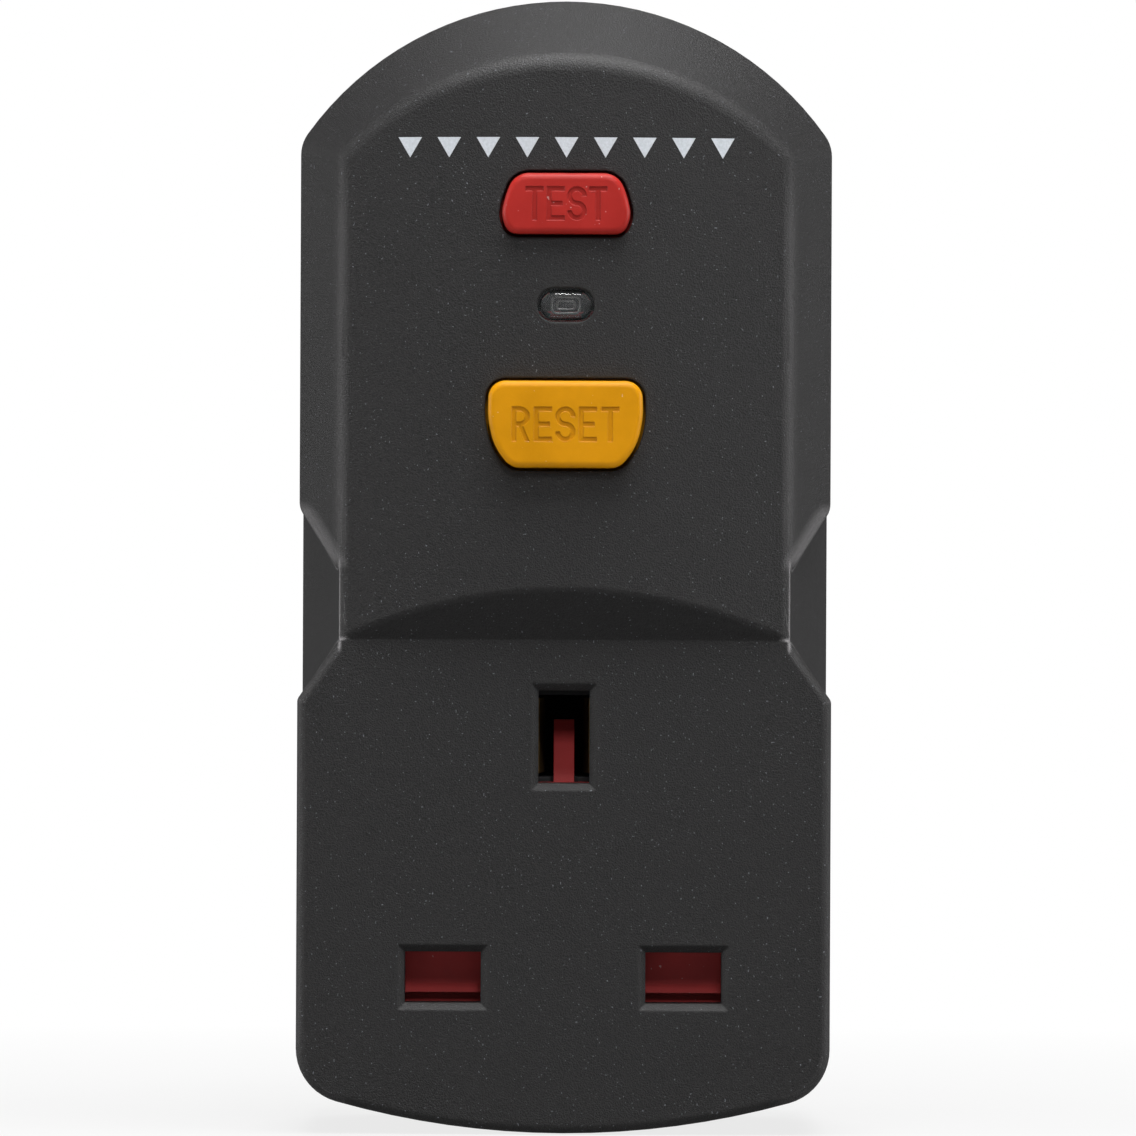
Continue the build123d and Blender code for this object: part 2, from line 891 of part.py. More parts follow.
def clip_leaf_points():
    """One contact leaf as (front, offset) points, tapering to a throat and flaring at the mouth."""
    depth = clip_front - clip_rear
    inner = [
        (clip_rear, clip_root),
        (clip_rear + depth * clip_heel_share, clip_root),
        (clip_rear + depth * clip_throat_share, clip_throat),
        (clip_front, clip_root),
    ]
    outer = [(front, side - clip_thickness) for front, side in reversed(inner)]
    return inner + outer


def lower_clip(side):
    """A brass clip that grips a flat pin from above and below."""
    x = side * half_pitch
    leaves = []
    for sign in (-1, 1):
        points = [(front, -half_pitch + sign * offset_z) for front, offset_z in clip_leaf_points()]
        leaves.append(side_profile(points, x, clip_width))
    base = block(
        x, -half_pitch, clip_base_width, 2 * clip_root, clip_rear, clip_rear + conductor_thickness
    )
    return joined([base] + leaves)


def earth_clip():
    """A brass clip that grips the earth pin from both sides."""
    leaves = []
    low = half_pitch - clip_earth_width / 2
    for sign in (-1, 1):
        points = [(sign * offset_x, front) for front, offset_x in clip_leaf_points()]
        leaves.append(plan_profile(points, low, low + clip_earth_width))
    base = block(
        0, half_pitch, 2 * clip_root, clip_earth_width, clip_rear, clip_rear + conductor_thickness
    )
    return joined([base] + leaves)


def tray_pocket(x, z, width, height, growth):
    return block(x, z, width + 2 * growth, height + 2 * growth, tray_rear, tray_front)


def contact_tray():
    """The moulding that holds the three outlet contacts and guides the shutter."""
    half = tray_foot_x + tray_foot / 2
    tray = span(-half, half, tray_waist, tray_high, tray_rear, tray_floor)
    half_low = screw_x_low - boss_radius - tray_boss_gap
    tray += span(-half_low, half_low, tray_low, tray_high, tray_rear, tray_floor)
    pockets = [(side * half_pitch, -half_pitch, clip_base_width, 2 * clip_root) for side in (-1, 1)]
    pockets.append((0, half_pitch, 2 * clip_root, clip_earth_width))
    for x, z, width, height in pockets:
        tray += tray_pocket(x, z, width, height, running_gap + tray_wall)
    for x, z, width, height in pockets:
        hollow = tray_pocket(x, z, width, height, running_gap)
        tray -= hollow & span(-half, half, tray_low, body_top, tray_floor, crest)
    for x in (-tray_foot_x, tray_foot_x):
        for z in (tray_foot_low_z, tray_foot_high_z):
            tray += block(x, z, tray_foot, tray_foot, rear_wall, tray_floor)
    for x, z in screw_places[2:]:
        tray -= rod(x, z, boss_radius + running_gap, tray_rear - overrun, parting)
        tray -= rod(x, z, post_radius + running_gap, parting, tray_front + overrun)
    peg_middle = peg_low() + peg_height / 2
    tray += block(0, peg_middle, peg_width, peg_height, tray_rear, shutter_front - running_gap)
    slot_half = tongue_width / 2 + running_gap
    slot_rear = shutter_rear - tongue_reach - running_gap
    tray -= span(-slot_half, slot_half, tongue_low - shutter_travel, half_pitch, slot_rear, crest)
    tray -= block(
        0,
        half_pitch,
        earth_bar_width + 2 * running_gap,
        earth_bar_height + 2 * running_gap,
        tray_rear - overrun,
        tray_floor + overrun,
    )
    for side in (-1, 1):
        x = side * load_strap_x
        reach = conductor_width / 2 + running_gap
        inner = side * (half_pitch + clip_base_width / 2)
        left = min(x - reach, inner)
        right = max(x + reach, inner)
        low = -half_pitch - reach
        tray -= span(left, right, low, tray_high + overrun, tray_floor, tray_floor + collar_depth)
    return tray.solids().sort_by(SortBy.VOLUME)[-1]


# Plug pins

def pin_body(x, z, width, height, core_width, core_height, length, shank):
    """A pin with a chamfered tip, a shank in the rear wall and a flange behind the wall."""
    tip = block(x, z, width, height, -length, -shank)
    end = tip.faces().filter_by(Plane.XZ).sort_by(Axis.Y)[-1]
    tip = chamfer(end.edges(), pin_tip_chamfer)
    core = block(x, z, core_width, core_height, -shank, rear_wall)
    margin = 2 * pin_flange_margin
    flange = block(
        x,
        z,
        core_width + margin,
        core_height + margin,
        rear_wall,
        rear_wall + pin_flange_thickness,
    )
    return joined([tip, core, flange])


def lower_pin(side):
    core_width = pin_width - 2 * sleeve_wall
    core_height = pin_thickness - 2 * sleeve_wall
    return pin_body(
        side * half_pitch,
        -half_pitch,
        pin_width,
        pin_thickness,
        core_width,
        core_height,
        pin_length,
        sleeve_length,
    )


def earth_pin():
    return pin_body(
        0,
        half_pitch,
        pin_thickness,
        earth_height,
        pin_thickness,
        earth_height,
        earth_length,
        pin_thickness,
    )


def pin_sleeve(side):
    x = side * half_pitch
    outside = block(x, -half_pitch, pin_width, pin_thickness, -sleeve_length, 0)
    core_width = pin_width - 2 * sleeve_wall
    core_height = pin_thickness - 2 * sleeve_wall
    return outside - block(x, -half_pitch, core_width, core_height, -overrun - sleeve_length, overrun)


# Conductors

def supply_strap(side):
    """From a lower pin up behind the board and through the sensing ring to a fixed contact."""
    start = rear_wall + pin_flange_thickness + conductor_thickness / 2
    x = side * half_pitch
    riser_x = side * supply_riser_x
    foot = block(
        x,
        (ring_z - half_pitch) / 2,
        supply_width,
        ring_z + half_pitch + conductor_width,
        start - conductor_thickness / 2,
        start + conductor_thickness / 2,
    )
    contact = side * contact_x
    contact_z = reset_z - contact_pitch / 2
    end = frame_rear - conductor_thickness / 2
    points = [
        (x, ring_z, start),
        (riser_x, ring_z, start),
        (riser_x, ring_z, supply_turn_front),
        (contact, ring_z, supply_turn_front),
        (contact, ring_z, end),
        (contact, contact_z, end),
    ]
    path = bar(points, conductor_width, conductor_thickness)
    pad = rod(contact, contact_z, fixed_pad_radius, fixed_pad_rear, frame_rear)
    return joined([path, foot, pad])


def load_strap(side):
    """From the other fixed contact down to an outlet clip."""
    contact = side * contact_x
    contact_z = reset_z + contact_pitch / 2
    drop_x = side * (contact_x + fixed_pad_radius + running_gap + conductor_width / 2)
    strap_x = side * load_strap_x
    end = frame_rear - conductor_thickness / 2
    start = clip_rear + conductor_thickness / 2
    stop = side * (half_pitch + clip_base_width / 2 + conductor_width / 2)
    points = [
        (contact, contact_z, end),
        (drop_x, contact_z, end),
        (drop_x, load_turn_z, end),
        (drop_x, load_turn_z, start),
        (strap_x, load_turn_z, start),
        (strap_x, -half_pitch, start),
        (stop, -half_pitch, start),
    ]
    path = bar(points, conductor_width, conductor_thickness)
    pad = rod(contact, contact_z, fixed_pad_radius, fixed_pad_rear, frame_rear)
    return joined([path, pad])


def earth_bar():
    start = rear_wall + pin_flange_thickness
    return block(0, half_pitch, earth_bar_width, earth_bar_height, start, clip_rear)


# Board and mechanism

def circuit_board():
    board = span(-board_half, board_half, board_low, board_high, board_rear, board_front)
    half_tab = board_tab_width / 2
    board += span(-half_tab, half_tab, board_low, board_tab_high, board_rear, board_front)
    for x, z in screw_places[:2]:
        board -= rod(x, z, boss_radius + running_gap, board_rear - overrun, board_front + overrun)
    for x in (-board_post_x, board_post_x):
        for z in (board_post_low_z, board_post_high_z):
            hole = board_peg_radius + seat_gap
            board -= rod(x, z, hole, board_rear - overrun, board_front + overrun)
    board -= rod(0, ring_z, riser_hole_radius, board_rear - overrun, board_front + overrun)
    return board


def frame_legs():
    legs = []
    for x in (-frame_leg_x, frame_leg_x):
        for z in (frame_leg_low_z, frame_leg_high_z):
            legs.append(block(x, z, frame_leg, frame_leg, board_front, frame_rear))
    return legs


def mechanism_frame():
    """A plate on four legs that guides the button stems and holds the latch pin."""
    frame = span(-frame_half, frame_half, frame_low, frame_high, frame_rear, frame_front)
    half_tab = screw_x_high - post_radius - frame_tab_gap
    frame += span(-half_tab, half_tab, frame_high, frame_tab_high, frame_rear, frame_front)
    for leg in frame_legs():
        frame += leg
    ear_rear = frame_rear - frame_ear_depth
    pin_x = latch_x()
    for low in (latch_low - running_gap - frame_ear_thickness, latch_high + running_gap):
        left = pin_x - frame_ear_width / 2
        right = pin_x + frame_ear_width / 2
        frame += span(left, right, low, low + frame_ear_thickness, ear_rear, frame_rear)
    low = latch_low - running_gap - frame_ear_thickness - overrun
    high = latch_high + running_gap + frame_ear_thickness + overrun
    frame -= upright_rod(pin_x, latch_pivot_front, low, high, latch_pin_radius + pin_fit)
    stem = reset_stem_width + 2 * running_gap
    frame -= block(0, reset_z, stem, stem, frame_rear - overrun, frame_front + overrun)
    hole = test_stem_radius + running_gap
    frame -= rod(0, test_z, hole, frame_rear - overrun, frame_front + overrun)
    slot = flag_stem_width / 2 + running_gap
    frame -= span(
        -slot,
        slot,
        flag_low - running_gap,
        flag_low + flag_stem_height + flag_travel + running_gap,
        frame_rear - overrun,
        frame_front + overrun,
    )
    return frame


def sensing_ring():
    rear = board_front + ring_winding_wall + seat_gap
    return tube(0, ring_z, ring_radius, ring_bore, rear, rear + ring_depth)


def ring_winding():
    """The winding over the upper half of the ring."""
    rear = board_front + seat_gap
    front = rear + ring_depth + 2 * ring_winding_wall
    outside = ring_radius + ring_winding_wall
    body = tube(0, ring_z, outside, ring_bore - ring_winding_wall, rear, front)
    body -= sensing_ring()
    return body & span(-outside, outside, ring_z, ring_z + outside, rear, front)


def coil_bobbin():
    right = coil_left + coil_length
    core = cross_rod(coil_left, right, coil_z, coil_front, coil_core_radius)
    first = cross_rod(coil_left, coil_left + coil_flange, coil_z, coil_front, coil_flange_radius)
    last = cross_rod(right - coil_flange, right, coil_z, coil_front, coil_flange_radius)
    bore = cross_rod(coil_left - overrun, right + overrun, coil_z, coil_front, coil_bore_radius)
    return core + first + last - bore


def coil_winding():
    left = coil_left + coil_flange
    right = coil_left + coil_length - coil_flange
    outside = cross_rod(left, right, coil_z, coil_front, coil_winding_radius)
    return outside - cross_rod(left - overrun, right + overrun, coil_z, coil_front, coil_core_radius)


def coil_yoke():
    """A steel bracket round the coil, open at the front."""
    left = coil_left - seat_gap - yoke_thickness
    right = coil_left + coil_length + seat_gap + yoke_thickness
    low = coil_z - yoke_height / 2
    high = coil_z + yoke_height / 2
    rear = board_front + seat_gap
    yoke = span(left, right, low, high, rear, rear + yoke_thickness)
    yoke += span(left, left + yoke_thickness, low, high, rear, rear + yoke_depth)
    yoke += span(right - yoke_thickness, right, low, high, rear, rear + yoke_depth)
    hole = plunger_radius + running_gap
    return yoke - cross_rod(left - overrun, coil_left, coil_z, coil_front, hole)


def plunger():
    left = coil_left - plunger_out
    shaft = cross_rod(left, coil_left + plunger_in, coil_z, coil_front, plunger_radius)
    return shaft + cross_rod(left - plunger_head, left, coil_z, coil_front, plunger_head_radius)


def latch_x():
    """Where the latch pin stands: above the middle of the forked arm."""
    return coil_left - plunger_out + running_gap + latch_arm_thickness / 2


def latch_lever():
    """A forked arm behind the pivot and a nose beside the reset stem."""
    x = latch_x()
    hub = upright_rod(x, latch_pivot_front, latch_low, latch_high, latch_hub_radius)
    half = latch_arm_thickness / 2
    low = coil_z - latch_arm_height / 2
    high = coil_z + latch_arm_height / 2
    tip = latch_pivot_front - latch_arm_reach
    arm = span(x - half, x + half, low, high, tip, latch_pivot_front)
    fork = latch_fork_width / 2
    root = coil_front + plunger_radius + latch_fork_gap
    arm -= span(x - overrun, x + overrun, coil_z - fork, coil_z + fork, tip - overrun, root)
    nose_tip = -reset_stem_width / 2 - running_gap - seat_gap
    nose_root = nose_tip - latch_nose_width
    rear = latch_pivot_front + latch_nose_rise
    front = rear + latch_nose_depth
    nose_low = reset_z + latch_nose_start
    nose_high = latch_low + latch_nose_width
    nose = span(nose_root, nose_tip, nose_low, nose_high, rear, front)
    bridge = span(x, nose_tip, latch_low, nose_high, rear, front)
    lever = hub + arm + nose + bridge
    hole = latch_pin_radius + seat_gap
    lever -= upright_rod(x, latch_pivot_front, latch_low - overrun, latch_high + overrun, hole)
    return lever


def latch_pin():
    low = latch_low - running_gap - frame_ear_thickness
    high = latch_high + running_gap + frame_ear_thickness
    return upright_rod(latch_x(), latch_pivot_front, low, high, latch_pin_radius)


def contact_carrier():
    """The sliding bar that lifts both contact bridges when the device is set."""
    front = carrier_rear + carrier_depth
    core_width = 2 * (contact_x - bridge_width / 2 - carrier_core_gap)
    core = block(0, reset_z, core_width, carrier_height, carrier_rear, front)
    width = 2 * contact_x + bridge_width
    wing_rear = front - carrier_depth / 2
    wings = block(0, reset_z, width, carrier_wing_height, wing_rear, front - bridge_thickness)
    stem = reset_stem_width + 2 * running_gap
    hole = block(0, reset_z, stem, stem, carrier_rear - overrun, front + overrun)
    return joined([core, wings]) - hole


def contact_bridge(side):
    """A copper bridge with two silver pads, on one wing of the carrier."""
    x = side * contact_x
    front = moving_pad_front - pad_thickness
    height = contact_pitch + 2 * moving_pad_radius + bridge_end
    bridge = block(x, reset_z, bridge_width, height, front - bridge_thickness, front)
    for sign in (-1, 1):
        z = reset_z + sign * contact_pitch / 2
        bridge += rod(x, z, moving_pad_radius, front, moving_pad_front)
    return bridge


def trip_springs():
    """Two small springs between the frame and the carrier, kept as plain sleeves."""
    rear = carrier_rear + carrier_depth + seat_gap
    springs = []
    for side in (-1, 1):
        bore = trip_spring_radius - trip_spring_wire
        x = side * trip_spring_x
        springs.append(tube(x, reset_z, trip_spring_radius, bore, rear, frame_rear - seat_gap))
    return springs


def test_leaf():
    """A copper leaf with a curled root, on which it turns."""
    half = leaf_width / 2
    leaf = span(-half, half, leaf_low, leaf_root, leaf_front - leaf_thickness, leaf_front)
    curl = cross_rod(-half, half, leaf_root, leaf_front - leaf_thickness / 2, leaf_curl_radius)
    return leaf + curl


def test_leaf_post():
    half = leaf_width / 2
    high = leaf_post_low + leaf_post_thickness
    return span(-half, half, leaf_post_low, high, board_front, leaf_front)


def test_pad():
    return rod(0, test_z - test_pad_drop, test_pad_radius, board_front, test_pad_front)


# Small electronic parts

def test_resistor():
    front = board_front + part_lead_gap + resistor_radius
    half = resistor_length / 2
    return cross_rod(-half, half, test_z + resistor_rise, front, resistor_radius)


def film_capacitor():
    rear = board_front + part_lead_gap
    return block(
        film_capacitor_width / 2 - part_reach,
        film_capacitor_z,
        film_capacitor_width,
        film_capacitor_height,
        rear,
        rear + film_capacitor_depth,
    )


def round_capacitor():
    rear = board_front + part_lead_gap
    x = round_capacitor_inset - board_half
    z = coil_z + round_capacitor_rise
    return rod(x, z, round_capacitor_radius, rear, rear + round_capacitor_depth)


def varistor():
    front = board_front + part_lead_gap + varistor_radius
    left = part_reach - varistor_thickness
    return cross_rod(left, part_reach, varistor_z, front, varistor_radius)


def control_chip():
    rear = board_front + part_lead_gap
    x = chip_width / 2 - part_reach
    return block(x, reset_z + chip_rise, chip_width, chip_height, rear, rear + chip_depth)


def rectifier_diodes():
    rear = board_front + part_lead_gap
    diodes = []
    for column in (-1, 1):
        for row in (-1, 1):
            x = diode_x + column * diode_pitch / 2
            z = reset_z + diode_rise + row * diode_pitch / 2
            diodes.append(block(x, z, diode_width, diode_height, rear, rear + diode_depth))
    return diodes


nodes = {
    "front_shell": [front_shell()],
    "rear_cover": [rear_cover()],
    "case_screws": case_screws(),
    "indicator_lens": [indicator_lens()],
    "indicator_flag": [indicator_flag()],
    "test_button": [test_button()],
    "test_button_spring": [
        button_spring(test_z, test_stem_radius + button_spring_gap, test_flange_drop)
    ],
    "reset_button": [reset_button()],
    "reset_button_spring": [
        button_spring(
            reset_z, reset_stem_width / sqrt(2) + button_spring_gap, reset_flange_drop
        )
    ],
    "shutter": [shutter()],
    "shutter_spring": [shutter_spring()],
    "contact_tray": [contact_tray()],
    "live_outlet_clip": [lower_clip(1)],
    "neutral_outlet_clip": [lower_clip(-1)],
    "earth_outlet_clip": [earth_clip()],
    "live_pin": [lower_pin(1)],
    "neutral_pin": [lower_pin(-1)],
    "earth_pin": [earth_pin()],
    "live_pin_sleeve": [pin_sleeve(1)],
    "neutral_pin_sleeve": [pin_sleeve(-1)],
    "live_supply_strap": [supply_strap(1)],
    "neutral_supply_strap": [supply_strap(-1)],
    "live_load_strap": [load_strap(1)],
    "neutral_load_strap": [load_strap(-1)],
    "earth_bar": [earth_bar()],
    "circuit_board": [circuit_board()],
    "mechanism_frame": [mechanism_frame()],
    "sensing_ring": [sensing_ring()],
    "ring_winding": [ring_winding()],
    "coil_bobbin": [coil_bobbin()],
    "coil_winding": [coil_winding()],
    "coil_yoke": [coil_yoke()],
    "plunger": [plunger()],
    "latch_lever": [latch_lever()],
    "latch_pin": [latch_pin()],
    "contact_carrier": [contact_carrier()],
    "live_contact_bridge": [contact_bridge(1)],
    "neutral_contact_bridge": [contact_bridge(-1)],
    "trip_springs": trip_springs(),
    "test_leaf": [test_leaf()],
    "test_leaf_post": [test_leaf_post()],
    "test_pad": [test_pad()],
    "test_resistor": [test_resistor()],
    "film_capacitor": [film_capacitor()],
    "round_capacitor": [round_capacitor()],
    "varistor": [varistor()],
    "control_chip": [control_chip()],
    "rectifier_diodes": rectifier_diodes(),
}

os.makedirs("parts", exist_ok=True)
for name, pieces in nodes.items():
    solids = [solid for piece in pieces for solid in piece.solids()]
    shape = solids[0] if len(solids) == 1 else Compound(children=solids)
    export_step(shape, f"parts/{name}.step")
    print(name, len(solids), round(sum(solid.volume for solid in solids), 1))
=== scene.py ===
import json
import math

import bmesh
import bpy
from mathutils import Matrix, Vector
from mathutils.bvhtree import BVHTree


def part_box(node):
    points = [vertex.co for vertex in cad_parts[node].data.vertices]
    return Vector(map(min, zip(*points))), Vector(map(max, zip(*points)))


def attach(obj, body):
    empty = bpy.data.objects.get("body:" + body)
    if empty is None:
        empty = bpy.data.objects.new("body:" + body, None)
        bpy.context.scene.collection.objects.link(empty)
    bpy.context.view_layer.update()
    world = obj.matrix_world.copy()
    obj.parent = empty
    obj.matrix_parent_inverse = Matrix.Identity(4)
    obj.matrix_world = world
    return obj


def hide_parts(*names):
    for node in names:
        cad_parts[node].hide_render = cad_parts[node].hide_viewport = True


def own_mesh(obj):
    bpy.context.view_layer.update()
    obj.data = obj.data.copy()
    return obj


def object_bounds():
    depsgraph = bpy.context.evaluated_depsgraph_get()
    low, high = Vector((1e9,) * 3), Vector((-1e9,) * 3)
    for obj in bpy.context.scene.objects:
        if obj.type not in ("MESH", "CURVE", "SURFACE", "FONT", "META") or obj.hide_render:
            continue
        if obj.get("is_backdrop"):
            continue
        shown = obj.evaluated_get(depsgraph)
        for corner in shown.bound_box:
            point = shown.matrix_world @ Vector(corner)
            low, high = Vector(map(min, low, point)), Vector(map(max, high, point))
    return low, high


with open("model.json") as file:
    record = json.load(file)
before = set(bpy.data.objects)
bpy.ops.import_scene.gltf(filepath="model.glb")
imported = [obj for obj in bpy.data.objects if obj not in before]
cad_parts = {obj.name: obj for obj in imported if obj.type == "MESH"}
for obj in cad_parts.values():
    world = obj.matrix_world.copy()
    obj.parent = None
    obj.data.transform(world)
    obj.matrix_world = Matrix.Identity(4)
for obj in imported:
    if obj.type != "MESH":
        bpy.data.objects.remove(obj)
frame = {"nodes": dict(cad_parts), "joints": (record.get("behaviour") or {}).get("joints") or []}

bl_info = {
    "name": "Residual current adapter",
    "version": (1, 0, 0),
    "blender": (4, 5, 0),
    "location": "3D View > Sidebar > Adapter",
    "description": "Dresses a packed residual current adapter with finishes, springs and prints",
    "category": "Object",
}

NODES = frame["nodes"]
MM = 0.001

# The photograph's frame: 1136 pixels cover this width at the depth of the outlet's face.
FRAME_WIDTH = 104.8 * MM
OUTLET_FACE = -43.0 * MM
CAMERA_DISTANCE = 1.0
CAMERA_X = 0.3 * MM
CAMERA_Z = 26.7 * MM
CAMERA_ROLL = math.radians(-0.25)
SENSOR = 36.0

# Each lamp of the stage: its name, its place and the side of its square
LAMPS = (
    ("top", (0.03, -0.14, 0.42), 0.3),
    ("brow", (0.045, -0.7, 0.45), 0.16),
    ("front", (0.0, -1.4, 0.15), 0.5),
    ("left", (-0.8, -0.12, 0.1), 0.4),
    ("right", (0.8, -0.12, 0.1), 0.4),
    ("rear", (0.0, 0.9, 0.3), 0.3),
)

# Half the side of the floor, and the gap between it and the object
FLOOR_HALF = 12.0
FLOOR_GAP = 0.1 * MM

# Distances from the origin between which the floor goes over to plain white
WHITE_FROM = 60.0 * MM
WHITE_TO = 200.0 * MM

# Share of a direction that points backwards, where the dim room starts to turn into the paper
# and where all of it is paper
ROOM_FROM = -0.2
ROOM_TO = 0.9

# How strongly grained and satin plastics mirror light, where 0.5 is a polished plastic
MATT_REFLECTION = 0.35

# Height of the finest marks on a surface, and how far a sharp edge of metal or board is rounded
FINE_RELIEF = 0.02 * MM
FINE_EDGE = 0.15 * MM

# Painted highlights on the case's sides start at this share of its half width, and fade out
# between these two depths, in front of the line where the shells meet.
SIDE_SHARE = 0.8
HIGHLIGHT_FRONT = -31.0 * MM
HIGHLIGHT_BACK = -29.0 * MM

# Ends of the upper edge of a side notch, across and up
NOTCH_EDGE = ((20.9 * MM, 26.5 * MM), (24.4 * MM, 31.9 * MM))

# The ridges between the front and the flanks: the distance of each from the middle, the width of
# its painted highlight line on each side of it, and the heights between which that line fades out
RIDGE = 20.7 * MM
RIDGE_HIGHLIGHT_WIDTH = 0.9 * MM
RIDGE_HIGHLIGHT_TOP = (57.9 * MM, 64.9 * MM)

# Thickness of the window's solid front, before the pocket behind it, and the light guide's rib
WINDOW_COVER = 0.9 * MM
GUIDE_RIB = 0.1 * MM

# Shares of the earth clip's depth at which the clips' brass stops being bright, is brown and is
# black, the black being painted shade deep in the slot
CLIP_WEAR_AND_SHADE = (0.05, 0.3, 0.55)

# Distance from the sides of a spring's box to the middle of its wire, in radii of the wire
WIRE_INSET = 1.15

# Angle left bare at each end of the sensing ring's winding
RING_GAP = math.radians(8)

# Parts that are soldered to the board, and the share of a part's height between its middle and
# each of its two joints
SOLDERED = ("film_capacitor", "round_capacitor", "varistor", "test_resistor", "control_chip")
SOLDER_SHARE = 0.3

# Height of the print over the shell, and a depth that is in front of every piece
PRINT_LIFT = 0.02 * MM
FAR_FRONT = -200.0 * MM


# Node maths

class Socket:
    """An output socket with the usual operators."""

    def __init__(self, maker, output):
        self.maker = maker
        self.output = output

    def __add__(self, other):
        return self.maker.maths("ADD", self, other)

    __radd__ = __add__

    def __mul__(self, other):
        return self.maker.maths("MULTIPLY", self, other)

    __rmul__ = __mul__

    def __sub__(self, other):
        return self.maker.maths("SUBTRACT", self, other)

    def __rsub__(self, other):
        return self.maker.maths("SUBTRACT", other, self)

    def __truediv__(self, other):
        return self.maker.maths("DIVIDE", self, other)

    def __rtruediv__(self, other):
        return self.maker.maths("DIVIDE", other, self)

    def __abs__(self):
        return self.maker.maths("ABSOLUTE", self)

    def steps(self, low, high, bottom=0.0, top=1.0):
        """This value from low to high, mapped to bottom and top."""
        return self.maker.node("ShaderNodeMapRange", {"clamp": True}, self, low, high, bottom, top)

    def band(self, start, full, fade, end):
        """A rise from start to full times a fall from fade to end."""
        return self.steps(start, full) * self.steps(fade, end, 1.0, 0.0)


class Wiring:
    """Makes and joins the nodes of one tree."""

    def __init__(self, tree):
        self.tree = tree

    def node(self, kind, settings, *values, out=None, **named):
        """A node of a type with its settings, then values or links for its sockets.

        The result is the output with the name that out gives, or else the first output.
        """
        made = self.tree.nodes.new(kind)
        for key, value in settings.items():
            setattr(made, key, value)
        inputs = [s for s in made.inputs if s.enabled]
        for socket, value in zip(inputs, values):
            self.feed(socket, value)
        for key, value in named.items():
            self.feed(next(s for s in inputs if s.name == key.replace("_", " ")), value)
        if not made.outputs:
            return None
        return Socket(self, next(s for s in made.outputs if s.enabled and out in (None, s.name)))

    def feed(self, socket, value):
        """Links a socket to an output or to each of a list of them, or sets its value."""
        for source in value if isinstance(value, list) else [value]:
            if isinstance(source, Socket):
                self.tree.links.new(source.output, socket)
            elif source is not None:
                socket.default_value = source

    def maths(self, operation, *values):
        return self.node("ShaderNodeMath", {"operation": operation}, *values)

    def ray(self, kind):
        """One for rays of a kind, such as Camera or Glossy, and zero for the others."""
        return self.node("ShaderNodeLightPath", {}, out="Is " + kind + " Ray")


class Maker(Wiring):
    """Builds one material's nodes."""

    def __init__(self, name):
        self.material = bpy.data.materials.new(name)
        self.material.use_nodes = True
        super().__init__(self.material.node_tree)
        self.shader = self.tree.nodes["Principled BSDF"]
        self.place = self.node("ShaderNodeTexCoord", {}, out="Object")

    def axis(self, name):
        """Place along X, Y or Z."""
        return self.node("ShaderNodeSeparateXYZ", {}, self.place, out=name)

    def scaled(self, x, y, z):
        return self.node("ShaderNodeMapping", {}, self.place, Scale=(x, y, z))

    def noise(self, scale, detail, roughness=0.5, vector=None):
        return self.node(
            "ShaderNodeTexNoise", {}, vector or self.place, scale,
            Detail=detail, Roughness=roughness,
        )

    def mix(self, factor, first, second):
        """The first colour where the factor is zero and the second where it is one."""
        settings = {"data_type": "RGBA", "blend_type": "MIX"}
        return self.node("ShaderNodeMix", settings, factor, first, second)

    def bump(self, height, distance, strength, normal=None):
        return self.node(
            "ShaderNodeBump", {}, Strength=strength, Distance=distance, Height=height, Normal=normal
        )

    def soft_edge(self, radius):
        """The surface's normal, as if its edges were rounded."""
        return self.node("ShaderNodeBevel", {"samples": 6}, Radius=radius)

    def rubbed(self, radius, low, high):
        """How near this point is to a sharp edge: 0 on a face and 1 on the edge itself, as a mask
        for painted edge highlights.
        """
        soft = self.soft_edge(radius)
        true = self.node("ShaderNodeNewGeometry", {}, out="True Normal")
        same = self.node("ShaderNodeVectorMath", {"operation": "DOT_PRODUCT"}, soft, true)
        return same.steps(high, low)

    def finish(self, **inputs):
        """The material, with these values and links in its shader."""
        for key, value in inputs.items():
            self.feed(self.shader.inputs[key.replace("_", " ")], value)
        return self.material


def rgba(colour, share=1.0):
    """A colour times a share, with an alpha of one."""
    return tuple(channel * share for channel in colour[:3]) + (1.0,)


# Materials

def side_highlights(make, finish, side):
    """Masks of painted highlights: a sheen band above each notch, a line along each of the ridges
    and a line along the low sharp edges.

    The sides begin at the distance side from the middle.
    """
    across = abs(make.axis("X"))
    height = make.axis("Z")
    sides = across.steps(side, side + 0.5 * MM)
    sides = sides * make.axis("Y").steps(HIGHLIGHT_FRONT, HIGHLIGHT_BACK, 1.0, 0.0)
    (low_x, low_z), (high_x, high_z) = NOTCH_EDGE
    run, rise = high_x - low_x, high_z - low_z
    above = ((height - low_z) * run - (across - low_x) * rise) / math.hypot(run, rise)
    # Painted sheen: a pale band painted just above the upper edge of each notch, fading away from it
    painted_sheen = above.band(-0.1 * MM, 0.05 * MM, 0.0, finish.worn_edge)
    painted_sheen = painted_sheen * height.band(low_z, low_z + 1.0 * MM, high_z, high_z + 1.0 * MM)
    # Painted highlight: a pale line painted along each of the ridges between the front and the
    # flanks
    ridge_highlight = across.band(RIDGE - RIDGE_HIGHLIGHT_WIDTH, RIDGE, RIDGE, RIDGE + RIDGE_HIGHLIGHT_WIDTH)
    ridge_highlight = ridge_highlight * height.band(low_z, high_z, *RIDGE_HIGHLIGHT_TOP)
    low_part = height.steps(high_z, high_z + 3.0 * MM, 1.0, 0.0)
    # Painted highlight: a bright line painted along the sharp edges of the sides' lower part
    edges = make.rubbed(finish.rubbed_edge, 0.94, 0.998) * sides * low_part
    return painted_sheen * sides, ridge_highlight * sides, edges


